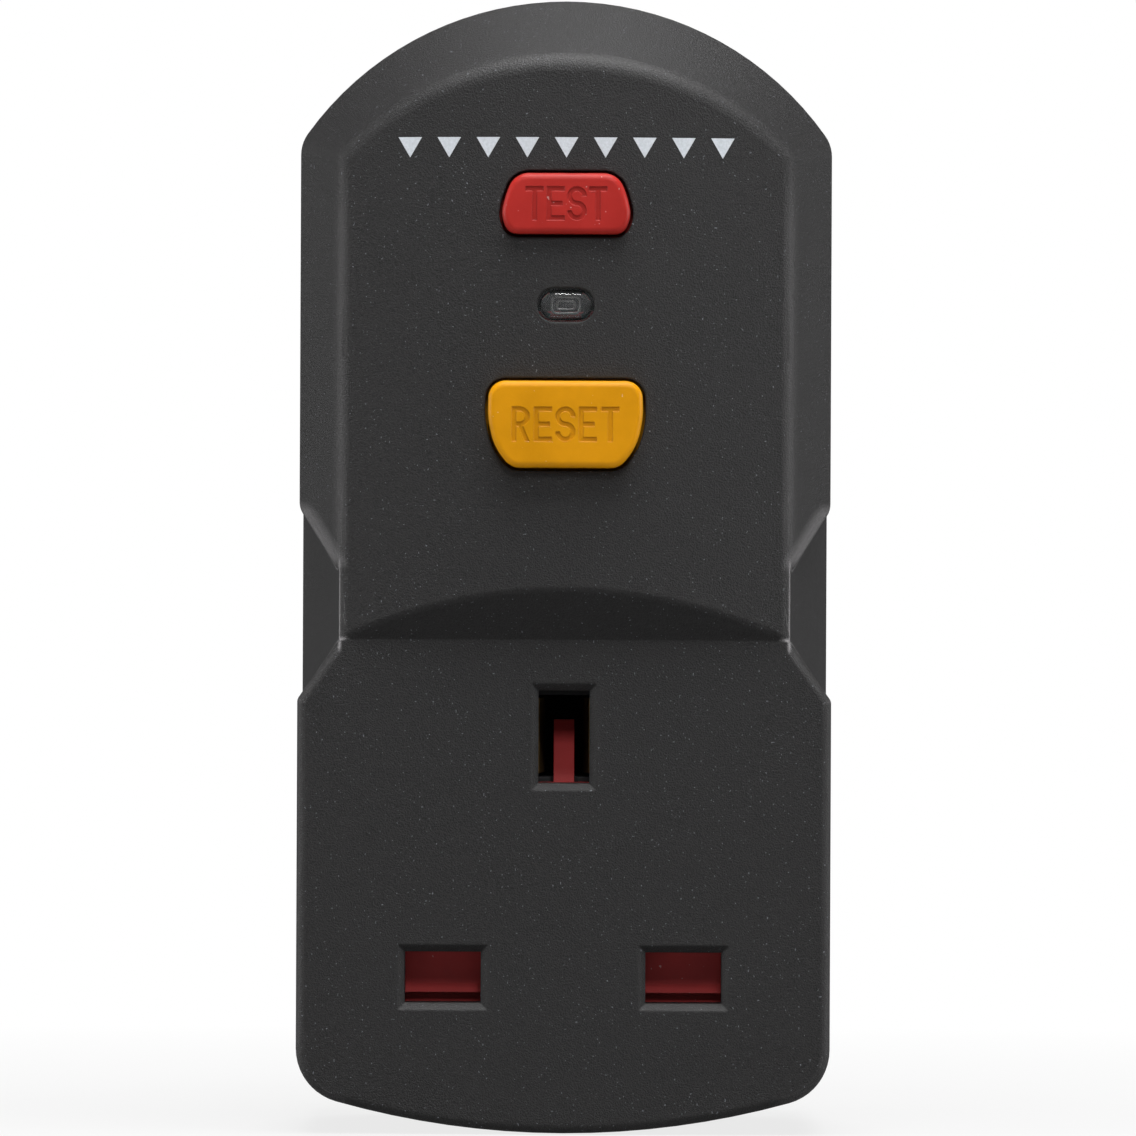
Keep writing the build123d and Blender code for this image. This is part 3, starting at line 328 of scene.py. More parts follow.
def grained_plastic(name, colour, finish, side):
    """Spark-eroded moulded plastic: fine grain, a few pale specks, and painted highlights on its
    sides.
    """
    make = Maker(name)
    grains = make.noise(finish.grain_scale, 2.0, 0.7).steps(0.36, 0.64)
    coarse = make.noise(finish.grain_scale * 0.45, 2.0, 0.6).steps(0.36, 0.64)
    broad = make.noise(60.0, 3.0, 0.5).steps(0.35, 0.65, 0.0, 0.25)
    specks = make.noise(finish.grain_scale * 0.9, 0.0).steps(0.79, 0.84)
    painted_sheen, ridge_highlight, edges = side_highlights(make, finish, side)
    tone = grains * 0.7 + coarse * 0.3
    shade = make.mix(tone, rgba(colour, 0.55), rgba(colour, 1.5))
    shade = make.mix(broad, shade, rgba(colour, 1.15))
    shade = make.mix(specks * 0.5, shade, rgba((0.22, 0.23, 0.26)))
    # Painted highlights: the colour brightened ninefold in the sheen above the notches, 2.4 times on
    # the ridges' lines and twentyfold on the sharp edges
    shade = make.mix(painted_sheen, shade, rgba(colour, 9.0))
    shade = make.mix(ridge_highlight, shade, rgba(colour, 2.4))
    shade = make.mix(edges, shade, rgba(colour, 20.0))
    rough = tone.steps(0.0, 1.0, finish.case_roughness - 0.05, finish.case_roughness + 0.06)
    normal = make.bump(grains, 0.06 * MM, 0.45, make.soft_edge(finish.soft_edge))
    return make.finish(
        Base_Color=shade, Roughness=rough - edges * 0.12, Normal=normal,
        Specular_IOR_Level=MATT_REFLECTION,
    )


def satin_plastic(name, colour, roughness, edge, reflection=MATT_REFLECTION):
    """Smooth moulded plastic with a faint flow pattern and a little dust."""
    make = Maker(name)
    fine = make.noise(5200.0, 2.0, 0.6)
    flow = make.noise(240.0, 3.0, 0.55)
    dust = make.noise(2600.0, 1.0).steps(0.76, 0.80)
    shade = make.mix(flow.steps(0.35, 0.65), rgba(colour, 0.93), rgba(colour, 1.07))
    shade = make.mix(dust * 0.25, shade, rgba((0.75, 0.72, 0.68)))
    rough = flow.steps(0.3, 0.7, roughness - 0.04, roughness + 0.05)
    normal = make.bump(fine, FINE_RELIEF, 0.35, make.soft_edge(edge))
    return make.finish(
        Base_Color=shade, Roughness=rough, Normal=normal, Specular_IOR_Level=reflection
    )


def metal(name, colour, roughness, stretch, metallic=1.0):
    """Drawn, stamped or machined metal with fine marks, longest where stretch is least."""
    make = Maker(name)
    marks = make.noise(9.0, 3.0, 0.6, make.scaled(*stretch))
    stain = make.noise(160.0, 4.0, 0.6)
    shade = make.mix(marks.steps(0.3, 0.7), rgba(colour, 0.9), rgba(colour, 1.06))
    shade = make.mix(stain.steps(0.52, 0.72, 0.0, 0.22), shade, rgba(colour, 0.7))
    rough = marks.steps(0.25, 0.75, roughness - 0.07, roughness + 0.09)
    normal = make.bump(marks, FINE_RELIEF, 0.35, make.soft_edge(FINE_EDGE))
    return make.finish(Base_Color=shade, Roughness=rough, Metallic=metallic, Normal=normal)


def spring_wire(name):
    """Bright drawn wire."""
    return metal(name, (0.55, 0.54, 0.52), roughness=0.3, stretch=(500, 500, 500))


def worn_and_shaded_brass(name, bright, brown, front, middle, back):
    """Contact brass: polished bright at its front by pins, brown further in, and near black at its
    back with painted shade deep in the slot.
    """
    make = Maker(name)
    marks = make.noise(9.0, 3.0, 0.6, make.scaled(120, 1200, 700))
    stain = make.noise(420.0, 3.0, 0.6)
    ragged = 2.0 * MM
    place = make.axis("Y") + stain * ragged - ragged / 2
    deep = place.steps(front, middle)
    shade = make.mix(deep, rgba(bright), rgba(brown))
    shade = make.mix(marks.steps(0.3, 0.7, 0.0, 0.3), shade, rgba(brown, 0.5))
    # Painted shade: the brass goes near black towards the back of the slot, where shade falls
    shade = make.mix(place.steps(middle, back), shade, rgba(brown, 0.06))
    normal = make.bump(marks, FINE_RELIEF, 0.5, make.soft_edge(FINE_EDGE))
    return make.finish(
        Base_Color=shade, Metallic=deep.steps(0.0, 1.0, 0.8, 0.2),
        Roughness=deep.steps(0.0, 1.0, 0.35, 0.6), Normal=normal,
    )


def clear_plastic(name):
    """The window's clear plastic, uneven, scuffed and a little hazy."""
    make = Maker(name)
    flow = make.noise(320.0, 2.0, 0.5)
    scuff = make.noise(1800.0, 3.0, 0.7).steps(0.45, 0.8, 0.05, 0.28)
    return make.finish(
        Base_Color=rgba((0.93, 0.94, 0.95)), Roughness=scuff, IOR=1.49,
        Transmission_Weight=0.978, Normal=make.bump(flow, 0.12 * MM, 0.5),
    )


def laminate(name):
    """Green coated board with the weave and copper tracks showing through."""
    make = Maker(name)
    weave, cross = (
        make.node(
            "ShaderNodeTexWave", {"wave_type": "BANDS", "bands_direction": way},
            make.place, Scale=520.0, Distortion=0.4, out="Fac",
        )
        for way in ("X", "Z")
    )
    tracks = make.node(
        "ShaderNodeTexBrick", {"offset": 0.35, "squash": 0.6}, make.scaled(1.0, 0.0, 1.0),
        Scale=140.0, Mortar_Size=0.05, Mortar_Smooth=0.1, out="Fac",
    )
    shade = make.mix(weave * cross * 0.4, rgba((0.012, 0.085, 0.03)), rgba((0.03, 0.16, 0.06)))
    shade = make.mix(tracks * 0.55, shade, rgba((0.05, 0.25, 0.08)))
    normal = make.bump(tracks, 2 * FINE_RELIEF, 0.6, make.soft_edge(FINE_EDGE))
    return make.finish(Base_Color=shade, Roughness=0.34 + weave * 0.08, Normal=normal)


def enamelled_wire(name, colour):
    """Copper wire under clear enamel."""
    make = Maker(name)
    tone = make.noise(700.0, 2.0, 0.5).steps(0.3, 0.7)
    return make.finish(
        Base_Color=make.mix(tone, rgba(colour, 0.8), rgba(colour, 1.15)), Metallic=0.85,
        Roughness=tone.steps(0.0, 1.0, 0.22, 0.34), Coat_Weight=0.4,
    )


def printed_ink(name, colour):
    """Pale ink, a little uneven."""
    make = Maker(name)
    tone = make.noise(4200.0, 3.0, 0.65)
    shade = make.mix(tone.steps(0.35, 0.7), rgba(colour, 0.82), rgba(colour))
    normal = make.bump(tone, FINE_RELIEF, 0.5)
    return make.finish(Base_Color=shade, Roughness=0.5 + tone * 0.1, Normal=normal)


def paper_white(name, colour, mirrored):
    """The pale floor: white to the eye further out, with light and shadow near the object."""
    make = Maker(name)
    tone = make.noise(3.0, 2.0, 0.5)
    make.finish(Base_Color=make.mix(tone, rgba(colour, 0.98), rgba(colour)), Roughness=0.9)
    seen = make.ray("Camera") + make.ray("Transmission")
    glossy = make.ray("Glossy")
    away = make.node("ShaderNodeVectorMath", {"operation": "LENGTH"}, make.place)
    share = away.steps(WHITE_FROM, WHITE_TO, 0.8, 1.0) * (seen + glossy)
    glow = make.node("ShaderNodeEmission", {}, rgba((1.0, 1.0, 1.0)), seen + glossy * mirrored)
    mixed = make.node("ShaderNodeMixShader", {}, share, Socket(make, make.shader.outputs[0]), glow)
    make.feed(make.tree.nodes["Material Output"].inputs["Surface"], mixed)
    return make.material


# Geometry Nodes

class Tree(Wiring):
    """Builds one Geometry Nodes tree with named inputs."""

    def __init__(self, name, **sizes):
        super().__init__(bpy.data.node_groups.new(name, "GeometryNodeTree"))
        self.opening("Geometry", "INPUT", "NodeSocketGeometry")
        for key, value in sizes.items():
            kind = "NodeSocketInt" if isinstance(value, int) else "NodeSocketFloat"
            self.opening(key, "INPUT", kind).default_value = value
        self.opening("Geometry", "OUTPUT", "NodeSocketGeometry")

    def opening(self, name, way, kind):
        """One of the sockets that the whole tree shows."""
        return self.tree.interface.new_socket(name.replace("_", " "), in_out=way, socket_type=kind)

    def given(self, name):
        """The value of one of the tree's own inputs."""
        return self.node("NodeGroupInput", {}, out=name)

    def vector(self, x=0.0, y=0.0, z=0.0):
        return self.node("ShaderNodeCombineXYZ", {}, x, y, z)

    def rounded_rectangle(self, width, height, corner, steps):
        line = self.node(
            "GeometryNodeCurvePrimitiveQuadrilateral", {}, Width=width, Height=height
        )
        return self.node(
            "GeometryNodeFilletCurve", {"mode": "POLY"}, Curve=line, Count=steps, Radius=corner,
            Limit_Radius=True,
        )

    def tube(self, line, radius, sides, caps=False):
        """A round tube along a line."""
        ring = self.node("GeometryNodeCurvePrimitiveCircle", {}, Resolution=sides, Radius=radius)
        return self.node(
            "GeometryNodeCurveToMesh", {}, Curve=line, Profile_Curve=ring, Fill_Caps=caps
        )

    def smooth(self, shape):
        return self.node("GeometryNodeSetShadeSmooth", {}, shape, Shade_Smooth=True)

    def finish(self, shape, material):
        """The tree, ending in its instances made real and its material."""
        whole = self.node("GeometryNodeRealizeInstances", {}, shape)
        dressed = self.node("GeometryNodeSetMaterial", {}, whole, Material=material)
        self.node("NodeGroupOutput", {}, dressed)
        return self.tree


def new_object(name, data):
    """An object in the scene at the origin."""
    made = bpy.data.objects.new(name, data)
    bpy.context.scene.collection.objects.link(made)
    return made


def grown(name, tree, base=None, **inputs):
    """A plain mesh object from a Geometry Nodes tree with its inputs set."""
    start = new_object(name + "_start", base or bpy.data.meshes.new(name + "_start"))
    modifier = start.modifiers.new("Nodes", "NODES")
    modifier.node_group = tree
    names = {i.name: i.identifier for i in tree.interface.items_tree if i.in_out == "INPUT"}
    for key, value in inputs.items():
        modifier[names[key.replace("_", " ")]] = value
    bpy.context.view_layer.update()
    depsgraph = bpy.context.evaluated_depsgraph_get()
    mesh = bpy.data.meshes.new_from_object(
        start.evaluated_get(depsgraph), preserve_all_data_layers=True, depsgraph=depsgraph
    )
    start.modifiers.remove(modifier)
    bpy.data.objects.remove(start)
    return new_object(name, mesh)


def coil_tree(material):
    """A round wire wound into a helix about Z from zero to its height, with its ends closed."""
    tree = Tree("coil_spring", Radius=3.0 * MM, Height=10.0 * MM, Turns=8.0, Wire=0.3 * MM)
    line = tree.node(
        "GeometryNodeCurveSpiral", {}, Resolution=28, Rotations=tree.given("Turns"),
        Start_Radius=tree.given("Radius"), End_Radius=tree.given("Radius"),
        Height=tree.given("Height"),
    )
    wire = tree.tube(line, tree.given("Wire"), sides=10, caps=True)
    return tree.finish(tree.smooth(wire), material)


def turns_tree(material):
    """Wire loops set side by side round part of a ring about Y."""
    tree = Tree(
        "ring_turns", Count=40, Ring=5.9 * MM, Half_Width=1.9 * MM, Half_Depth=3.65 * MM,
        Corner=0.5 * MM, Wire=0.2 * MM, Start=0.0, Sweep=math.pi,
    )
    loop = tree.rounded_rectangle(
        tree.given("Half Width") * 2.0, tree.given("Half Depth") * 2.0, tree.given("Corner"), steps=4
    )
    turn = tree.smooth(tree.tube(loop, tree.given("Wire"), sides=6))
    line = tree.node("GeometryNodeMeshLine", {}, Count=tree.given("Count"))
    share = tree.node("GeometryNodeInputIndex", {}) / (tree.given("Count") - 1.0)
    angle = tree.given("Start") + share * tree.given("Sweep")
    place = tree.vector(
        x=tree.maths("COSINE", angle) * tree.given("Ring"),
        z=tree.maths("SINE", angle) * tree.given("Ring"),
    )
    points = tree.node("GeometryNodeSetPosition", {}, line, Position=place)
    way = tree.node("FunctionNodeEulerToRotation", {}, tree.vector(x=math.pi / 2, y=angle * -1.0))
    loops = tree.node("GeometryNodeInstanceOnPoints", {}, points, Instance=turn, Rotation=way)
    return tree.finish(loops, material)


def guide_tree(material):
    """Two rounded rectangular ribs, one inside the other, on the plane where y is zero."""
    tree = Tree("light_guide", Width=2.6 * MM, Height=1.5 * MM, Corner=0.45 * MM, Rib=0.16 * MM)
    outer = tree.rounded_rectangle(
        tree.given("Width"), tree.given("Height"), tree.given("Corner"), steps=6
    )
    inner = tree.node("GeometryNodeTransform", {}, outer, Scale=(0.62, 0.5, 1.0))
    both = tree.node("GeometryNodeJoinGeometry", {}, [outer, inner])
    rib = tree.tube(both, tree.given("Rib"), sides=12)
    upright = tree.node("GeometryNodeTransform", {}, rib, Rotation=(math.pi / 2, 0.0, 0.0))
    return tree.finish(tree.smooth(upright), material)


def marks_tree(material):
    """Solid marks that point down, in a row along X, on the plane where y is zero."""
    tree = Tree("pointing_marks", Count=9, Pitch=3.6 * MM, Size=1.3 * MM)
    mark = tree.node(
        "GeometryNodeMeshCircle", {"fill_type": "NGON"}, Vertices=3, Radius=tree.given("Size")
    )
    upright = tree.node("GeometryNodeTransform", {}, mark, Rotation=(math.pi / 2, math.pi / 2, 0.0))
    fine = tree.node("GeometryNodeSubdivideMesh", {}, upright, Level=3)
    line = tree.node("GeometryNodeMeshLine", {}, Count=tree.given("Count"))
    middle = (tree.given("Count") - 1.0) / 2.0
    along = (tree.node("GeometryNodeInputIndex", {}) - middle) * tree.given("Pitch")
    points = tree.node("GeometryNodeSetPosition", {}, line, Position=tree.vector(x=along))
    row = tree.node("GeometryNodeInstanceOnPoints", {}, points, Instance=fine)
    return tree.finish(row, material)


def joints_tree(material):
    """A flattened ball of solder round each vertex of the base mesh, its short axis along Y."""
    tree = Tree("solder_domes", Radius=0.9 * MM, Rise=0.7 * MM)
    ball = tree.node("GeometryNodeMeshUVSphere", {}, Segments=14, Rings=10, Radius=1.0)
    shape = tree.vector(tree.given("Radius"), tree.given("Rise"), tree.given("Radius"))
    balls = tree.node(
        "GeometryNodeInstanceOnPoints", {}, tree.given("Geometry"), Instance=ball, Scale=shape
    )
    return tree.finish(tree.smooth(balls), material)


# Pieces

def turned(piece, matrix):
    """The piece's mesh put in place, with its object left at the origin."""
    piece.data.transform(matrix)
    piece.data.update()
    return piece


def dress(material, *nodes):
    """One material over the whole of each CAD node."""
    for node in nodes:
        mesh = NODES[node].data
        mesh.materials.clear()
        mesh.materials.append(material)


def coil_spring(name, low, high, axis, turns, wire, material):
    """A helical spring in the box between two corners, along its y or its z axis."""
    size = high - low
    middle = (low + high) / 2
    inset = wire * WIRE_INSET
    piece = grown(
        name, coil_tree(material), Radius=size.x / 2 - inset,
        Height=getattr(size, axis) - 2 * inset, Turns=turns, Wire=wire,
    )
    if axis == "y":
        start = Vector((middle.x, high.y - inset, middle.z))
        turn = Matrix.Rotation(math.pi / 2, 4, "X")
    else:
        start = Vector((middle.x, middle.y, low.z + inset))
        turn = Matrix.Identity(4)
    return turned(piece, Matrix.Translation(start) @ turn)


def share_left(node, joint, axis):
    """The share of a spring's length that is left at the end of a joint's travel."""
    low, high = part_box(node)
    travel = next(j["range_m"][1] for j in frame["joints"] if j["name"] == joint)
    return 1 - travel / getattr(high - low, axis)


def join(pieces, name):
    """One piece, with a new name, from several."""
    whole = bmesh.new()
    for piece in pieces:
        whole.from_mesh(piece.data)
    mesh = pieces[0].data
    whole.to_mesh(mesh)
    whole.free()
    for piece in pieces[1:]:
        bpy.data.objects.remove(piece)
    pieces[0].name = name
    return pieces[0]


def hand_over(piece, body, slot, *nodes):
    """Hangs a piece under its body's empty and hides the CAD nodes that it replaces. The slot is not
    used.
    """
    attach(piece, body)
    if nodes:
        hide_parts(*nodes)


def wrap(piece, node, lift):
    """Moves every vertex along Y onto the front of a CAD node, and a little in front of it."""
    tree = BVHTree.FromPolygons(
        [v.co for v in NODES[node].data.vertices],
        [p.vertices for p in NODES[node].data.polygons],
    )
    for vertex in piece.data.vertices:
        start = Vector((vertex.co.x, FAR_FRONT, vertex.co.z))
        hit = tree.ray_cast(start, Vector((0, 1, 0)))[0]
        vertex.co.y = hit.y - lift
    piece.data.update()


# Settings

class AdapterFinish(bpy.types.PropertyGroup):
    """Colours and surfaces"""

    case_colour: bpy.props.FloatVectorProperty(
        name="Case colour", description="Colour of the case", subtype="COLOR", size=3,
        default=(0.015, 0.0145, 0.0148), min=0.0, max=1.0,
    )
    case_roughness: bpy.props.FloatProperty(
        name="Case roughness", description="Roughness of the grained case", default=0.46,
        min=0.0, max=1.0,
    )
    grain_scale: bpy.props.FloatProperty(
        name="Grain scale", description="Grains in a metre of the case's surface",
        default=6400.0, min=100.0,
    )
    soft_edge: bpy.props.FloatProperty(
        name="Soft edge", description="Radius that moulding leaves on the case's sharp edges",
        unit="LENGTH", default=0.3 * MM, min=0.0,
    )
    # Painted highlight: width of the bright line painted along the case's sharp side edges
    rubbed_edge: bpy.props.FloatProperty(
        name="Edge highlight", description="Width of the rubbed line along the case's side edges",
        unit="LENGTH", default=0.42 * MM, min=0.0,
    )
    # Painted highlight: width of the pale sheen painted above each side notch
    worn_edge: bpy.props.FloatProperty(
        name="Sheen width", description="Width of the worn band above each side notch",
        unit="LENGTH", default=1.3 * MM, min=0.0,
    )
    test_colour: bpy.props.FloatVectorProperty(
        name="Test colour", description="Colour of the test button", subtype="COLOR", size=3,
        default=(0.33, 0.017, 0.013), min=0.0, max=1.0,
    )
    reset_colour: bpy.props.FloatVectorProperty(
        name="Reset colour", description="Colour of the reset button", subtype="COLOR", size=3,
        default=(0.54, 0.228, 0.0), min=0.0, max=1.0,
    )
    shutter_colour: bpy.props.FloatVectorProperty(
        name="Shutter colour", description="Colour of the shutter", subtype="COLOR", size=3,
        default=(0.38, 0.036, 0.036), min=0.0, max=1.0,
    )


class AdapterDetail(bpy.types.PropertyGroup):
    """Sizes and counts of the springs, the windings and the print"""

    button_turns: bpy.props.FloatProperty(
        name="Button spring turns", description="Turns in each button spring", default=7.0, min=1.0
    )
    shutter_turns: bpy.props.FloatProperty(
        name="Shutter spring turns", description="Turns in the shutter spring", default=9.0, min=1.0
    )
    trip_turns: bpy.props.FloatProperty(
        name="Trip spring turns", description="Turns in each trip spring", default=5.0, min=1.0
    )
    spring_wire: bpy.props.FloatProperty(
        name="Spring wire", description="Radius of the button springs' wire", unit="LENGTH",
        default=0.3 * MM, min=0.05 * MM,
    )
    fine_wire: bpy.props.FloatProperty(
        name="Fine wire", description="Radius of the small springs' wire", unit="LENGTH",
        default=0.2 * MM, min=0.05 * MM,
    )
    winding_wire: bpy.props.FloatProperty(
        name="Winding wire", description="Radius of the windings' wire", unit="LENGTH",
        default=0.19 * MM, min=0.05 * MM,
    )
    ring_turns: bpy.props.IntProperty(
        name="Ring turns", description="Turns of wire on the sensing ring", default=40, min=2
    )
    mark_count: bpy.props.IntProperty(
        name="Marks", description="Printed marks above the test button", default=9, min=1
    )
    mark_pitch: bpy.props.FloatProperty(
        name="Mark pitch", description="Distance between the printed marks", unit="LENGTH",
        default=3.6 * MM, min=0.5 * MM,
    )
    mark_height: bpy.props.FloatProperty(
        name="Mark height", description="Place of the printed marks up the case", unit="LENGTH",
        default=65.7 * MM,
    )
    mark_size: bpy.props.FloatProperty(
        name="Mark size", description="Radius of one printed mark", unit="LENGTH",
        default=1.25 * MM, min=0.1 * MM,
    )


class AdapterStage(bpy.types.PropertyGroup):
    """Strengths of the lamps and of the world"""

    top_power: bpy.props.FloatProperty(
        name="Top power", description="Strength of the soft box above", unit="POWER",
        default=3.1, min=0.0,
    )
    brow_power: bpy.props.FloatProperty(
        name="Brow power", description="Strength of the soft box above the camera", unit="POWER",
        default=1.7, min=0.0,
    )
    front_power: bpy.props.FloatProperty(
        name="Front power", description="Strength of the fill behind the camera", unit="POWER",
        default=0.1, min=0.0,
    )
    left_power: bpy.props.FloatProperty(
        name="Left power", description="Strength of the soft box on the left", unit="POWER",
        default=3.9, min=0.0,
    )
    right_power: bpy.props.FloatProperty(
        name="Right power", description="Strength of the soft box on the right", unit="POWER",
        default=3.8, min=0.0,
    )
    rear_power: bpy.props.FloatProperty(
        name="Rear power", description="Strength of the soft box behind the object", unit="POWER",
        default=5.0, min=0.0,
    )
    sky: bpy.props.FloatProperty(
        name="Sky", description="Strength of the world's even light", default=0.13, min=0.0
    )
    room: bpy.props.FloatProperty(
        name="Room", description="Brightness of the room behind the camera in reflections",
        default=0.03, min=0.0,
    )
    paper: bpy.props.FloatProperty(
        name="Paper", description="Brightness of the white paper behind the object in reflections",
        default=0.2, min=0.0,
    )


# Operators

class ADAPTER_OT_case(bpy.types.Operator):
    """Gives the two shells, the window, its flag and the screws their finishes"""

    bl_idname = "adapter.case"
    bl_label = "Case"

    def execute(self, context):
        finish = context.scene.adapter_finish
        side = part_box("front_shell")[1].x * SIDE_SHARE
        black = grained_plastic("case_black", finish.case_colour, finish, side)
        dress(black, "front_shell", "rear_cover")
        dress(clear_plastic("clear_window"), "indicator_lens")
        self.light_guide()
        red = satin_plastic("flag_red", (0.5, 0.03, 0.025), roughness=0.4, edge=0.1 * MM)
        dress(red, "indicator_flag")
        zinc = metal("zinc_plate", (0.48, 0.47, 0.45), roughness=0.36, stretch=(900, 140, 900))
        dress(zinc, "case_screws")
        return {"FINISHED"}

    def light_guide(self):
        """The moulded ribs on the back of the window, inside its pocket."""
        pale = satin_plastic(
            "guide_grey", (0.085, 0.08, 0.076), roughness=0.3, edge=0.05 * MM, reflection=0.7
        )
        piece = grown("light_guide", guide_tree(pale), Rib=GUIDE_RIB)
        low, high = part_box("indicator_lens")
        front = low.y + WINDOW_COVER + GUIDE_RIB
        turned(piece, Matrix.Translation(((low.x + high.x) / 2, front, (low.z + high.z) / 2)))
        hand_over(piece, "case", "clear_window")


class ADAPTER_OT_buttons(bpy.types.Operator):
    """Gives the buttons their finishes and winds their springs"""

    bl_idname = "adapter.buttons"
    bl_label = "Buttons"

    def execute(self, context):
        finish = context.scene.adapter_finish
        detail = context.scene.adapter_detail
        red = satin_plastic(
            "test_red", finish.test_colour, roughness=0.4, edge=0.12 * MM, reflection=0.18
        )
        amber = satin_plastic(
            "reset_amber", finish.reset_colour, roughness=0.4, edge=0.12 * MM, reflection=0.15
        )
        dress(red, "test_button")
        dress(amber, "reset_button")
        wire = spring_wire("spring_wire")
        for name, joint in (("test_button", "test_press"), ("reset_button", "reset_press")):
            node = name + "_spring"
            low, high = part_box(node)
            piece = coil_spring(
                name + "_coil", low, high, "y", detail.button_turns, detail.spring_wire, wire
            )
            hand_over(piece, "case", "spring_steel", node)
            keep = share_left(node, joint, "y")
            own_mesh(piece)
        return {"FINISHED"}


class ADAPTER_OT_shutter(bpy.types.Operator):
    """Gives the shutter its finish and winds its spring"""

    bl_idname = "adapter.shutter"
    bl_label = "Shutter"

    def execute(self, context):
        finish = context.scene.adapter_finish
        detail = context.scene.adapter_detail
        red = satin_plastic(
            "shutter_red", finish.shutter_colour, roughness=0.5, edge=0.12 * MM, reflection=0.15
        )
        dress(red, "shutter")
        low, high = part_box("shutter_spring")
        piece = coil_spring(
            "shutter_coil", low, high, "z", detail.shutter_turns, detail.fine_wire,
            spring_wire("shutter_wire"),
        )
        hand_over(piece, "case", "spring_steel", "shutter_spring")
        keep = share_left("shutter_spring", "shutter_slide", "z")
        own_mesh(piece)
        return {"FINISHED"}


class ADAPTER_OT_pins(bpy.types.Operator):
    """Gives the plug pins, their sleeves and the outlet contacts their finishes"""

    bl_idname = "adapter.pins"
    bl_label = "Pins and contacts"

    def execute(self, context):
        brass = metal(
            "pin_brass", (0.78, 0.58, 0.26), roughness=0.3, stretch=(900, 40, 900), metallic=0.75
        )
        dress(brass, "live_pin", "neutral_pin", "earth_pin", "earth_bar")
        low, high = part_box("earth_outlet_clip")
        depths = [low.y + (high.y - low.y) * share for share in CLIP_WEAR_AND_SHADE]
        stamped = worn_and_shaded_brass("clip_brass", (0.62, 0.42, 0.16), (0.22, 0.085, 0.035), *depths)
        dress(stamped, "live_outlet_clip", "neutral_outlet_clip", "earth_outlet_clip")
        copper = metal("strap_copper", (0.80, 0.35, 0.19), roughness=0.33, stretch=(700, 120, 300))
        for side in ("live", "neutral"):
            dress(copper, side + "_supply_strap", side + "_load_strap", side + "_contact_bridge")
        dress(copper, "test_leaf", "test_leaf_post", "test_pad")
        sleeve = satin_plastic(
            "sleeve_black", (0.018, 0.018, 0.018), roughness=0.42, edge=0.1 * MM
        )
        dress(sleeve, "live_pin_sleeve", "neutral_pin_sleeve")
        tray = satin_plastic("tray_black", (0.022, 0.022, 0.023), roughness=0.5, edge=0.15 * MM)
        dress(tray, "contact_tray")
        return {"FINISHED"}


class ADAPTER_OT_mechanism(bpy.types.Operator):
    """Gives the trip mechanism its finishes and winds the ring, the coil and the trip springs"""

    bl_idname = "adapter.mechanism"
    bl_label = "Mechanism"

    def execute(self, context):
        detail = context.scene.adapter_detail
        graphite = satin_plastic(
            "frame_graphite", (0.04, 0.041, 0.043), roughness=0.45, edge=0.15 * MM
        )
        black = satin_plastic("bobbin_black", (0.025, 0.025, 0.026), roughness=0.4, edge=0.1 * MM)
        dark = satin_plastic("carrier_black", (0.03, 0.03, 0.032), roughness=0.45, edge=0.15 * MM)
        blue = satin_plastic("ring_blue", (0.03, 0.05, 0.13), roughness=0.35, edge=0.3 * MM)
        steel = metal("plated_steel", (0.46, 0.46, 0.46), roughness=0.33, stretch=(300, 900, 900))
        dress(graphite, "mechanism_frame", "latch_lever")
        dress(black, "coil_bobbin")
        dress(dark, "contact_carrier")
        dress(blue, "sensing_ring")
        dress(steel, "coil_yoke", "plunger", "latch_pin")
        self.wind_ring(detail)
        self.wind_coil(detail)
        self.wind_trip_springs(detail)
        return {"FINISHED"}

    def wind_ring(self, detail):
        """Turns of wire round the upper half of the sensing ring."""
        low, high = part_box("ring_winding")
        ring_low, ring_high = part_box("sensing_ring")
        outer = (ring_high.x - ring_low.x) / 2
        wall = (high.x - low.x) / 2 - outer
        bore = self.ring_bore()
        piece = grown(
            "ring_turns", turns_tree(enamelled_wire("ring_wire", (0.55, 0.22, 0.07))),
            Count=detail.ring_turns, Ring=(outer + bore) / 2,
            Half_Width=(outer - bore) / 2 + wall / 2, Half_Depth=(high.y - low.y) / 2 - wall / 2,
            Wire=detail.winding_wire, Start=RING_GAP, Sweep=math.pi - 2 * RING_GAP,
        )
        centre = Vector((0, (low.y + high.y) / 2, (ring_low.z + ring_high.z) / 2))
        turned(piece, Matrix.Translation(centre))
        hand_over(piece, "case", "winding_wire", "ring_winding")

    def ring_bore(self):
        """The radius of the sensing ring's bore."""
        low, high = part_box("sensing_ring")
        centre = (low + high) / 2
        points = [v.co for v in NODES["sensing_ring"].data.vertices]
        return min(math.hypot(p.x - centre.x, p.z - centre.z) for p in points)

    def wind_coil(self, detail):
        """One layer of wire on the solenoid's bobbin, along X."""
        low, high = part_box("coil_winding")
        wire = detail.winding_wire
        length = high.x - low.x - 2 * wire
        piece = grown(
            "coil_turns", coil_tree(enamelled_wire("coil_wire", (0.6, 0.24, 0.07))),
            Radius=(high.z - low.z) / 2 - wire, Height=length, Turns=round(length / (2 * wire)),
            Wire=wire,
        )
        start = Vector((low.x + wire, (low.y + high.y) / 2, (low.z + high.z) / 2))
        turned(piece, Matrix.Translation(start) @ Matrix.Rotation(math.pi / 2, 4, "Y"))
        hand_over(piece, "case", "winding_wire", "coil_winding")

    def wind_trip_springs(self, detail):
        """The two trip springs, one at each end of their node's box."""
        wire = spring_wire("trip_wire")
        low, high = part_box("trip_springs")
        across = high.z - low.z
        pieces = [
            coil_spring(
                "trip_coil", Vector((x, low.y, low.z)), Vector((x + across, high.y, high.z)), "y",
                detail.trip_turns, detail.fine_wire, wire,
            )
            for x in (low.x, high.x - across)
        ]
        whole = join(pieces, "trip_coils")
        hand_over(whole, "case", "spring_steel", "trip_springs")
        keep = share_left("trip_springs", "contacts_close", "y")
        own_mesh(whole)


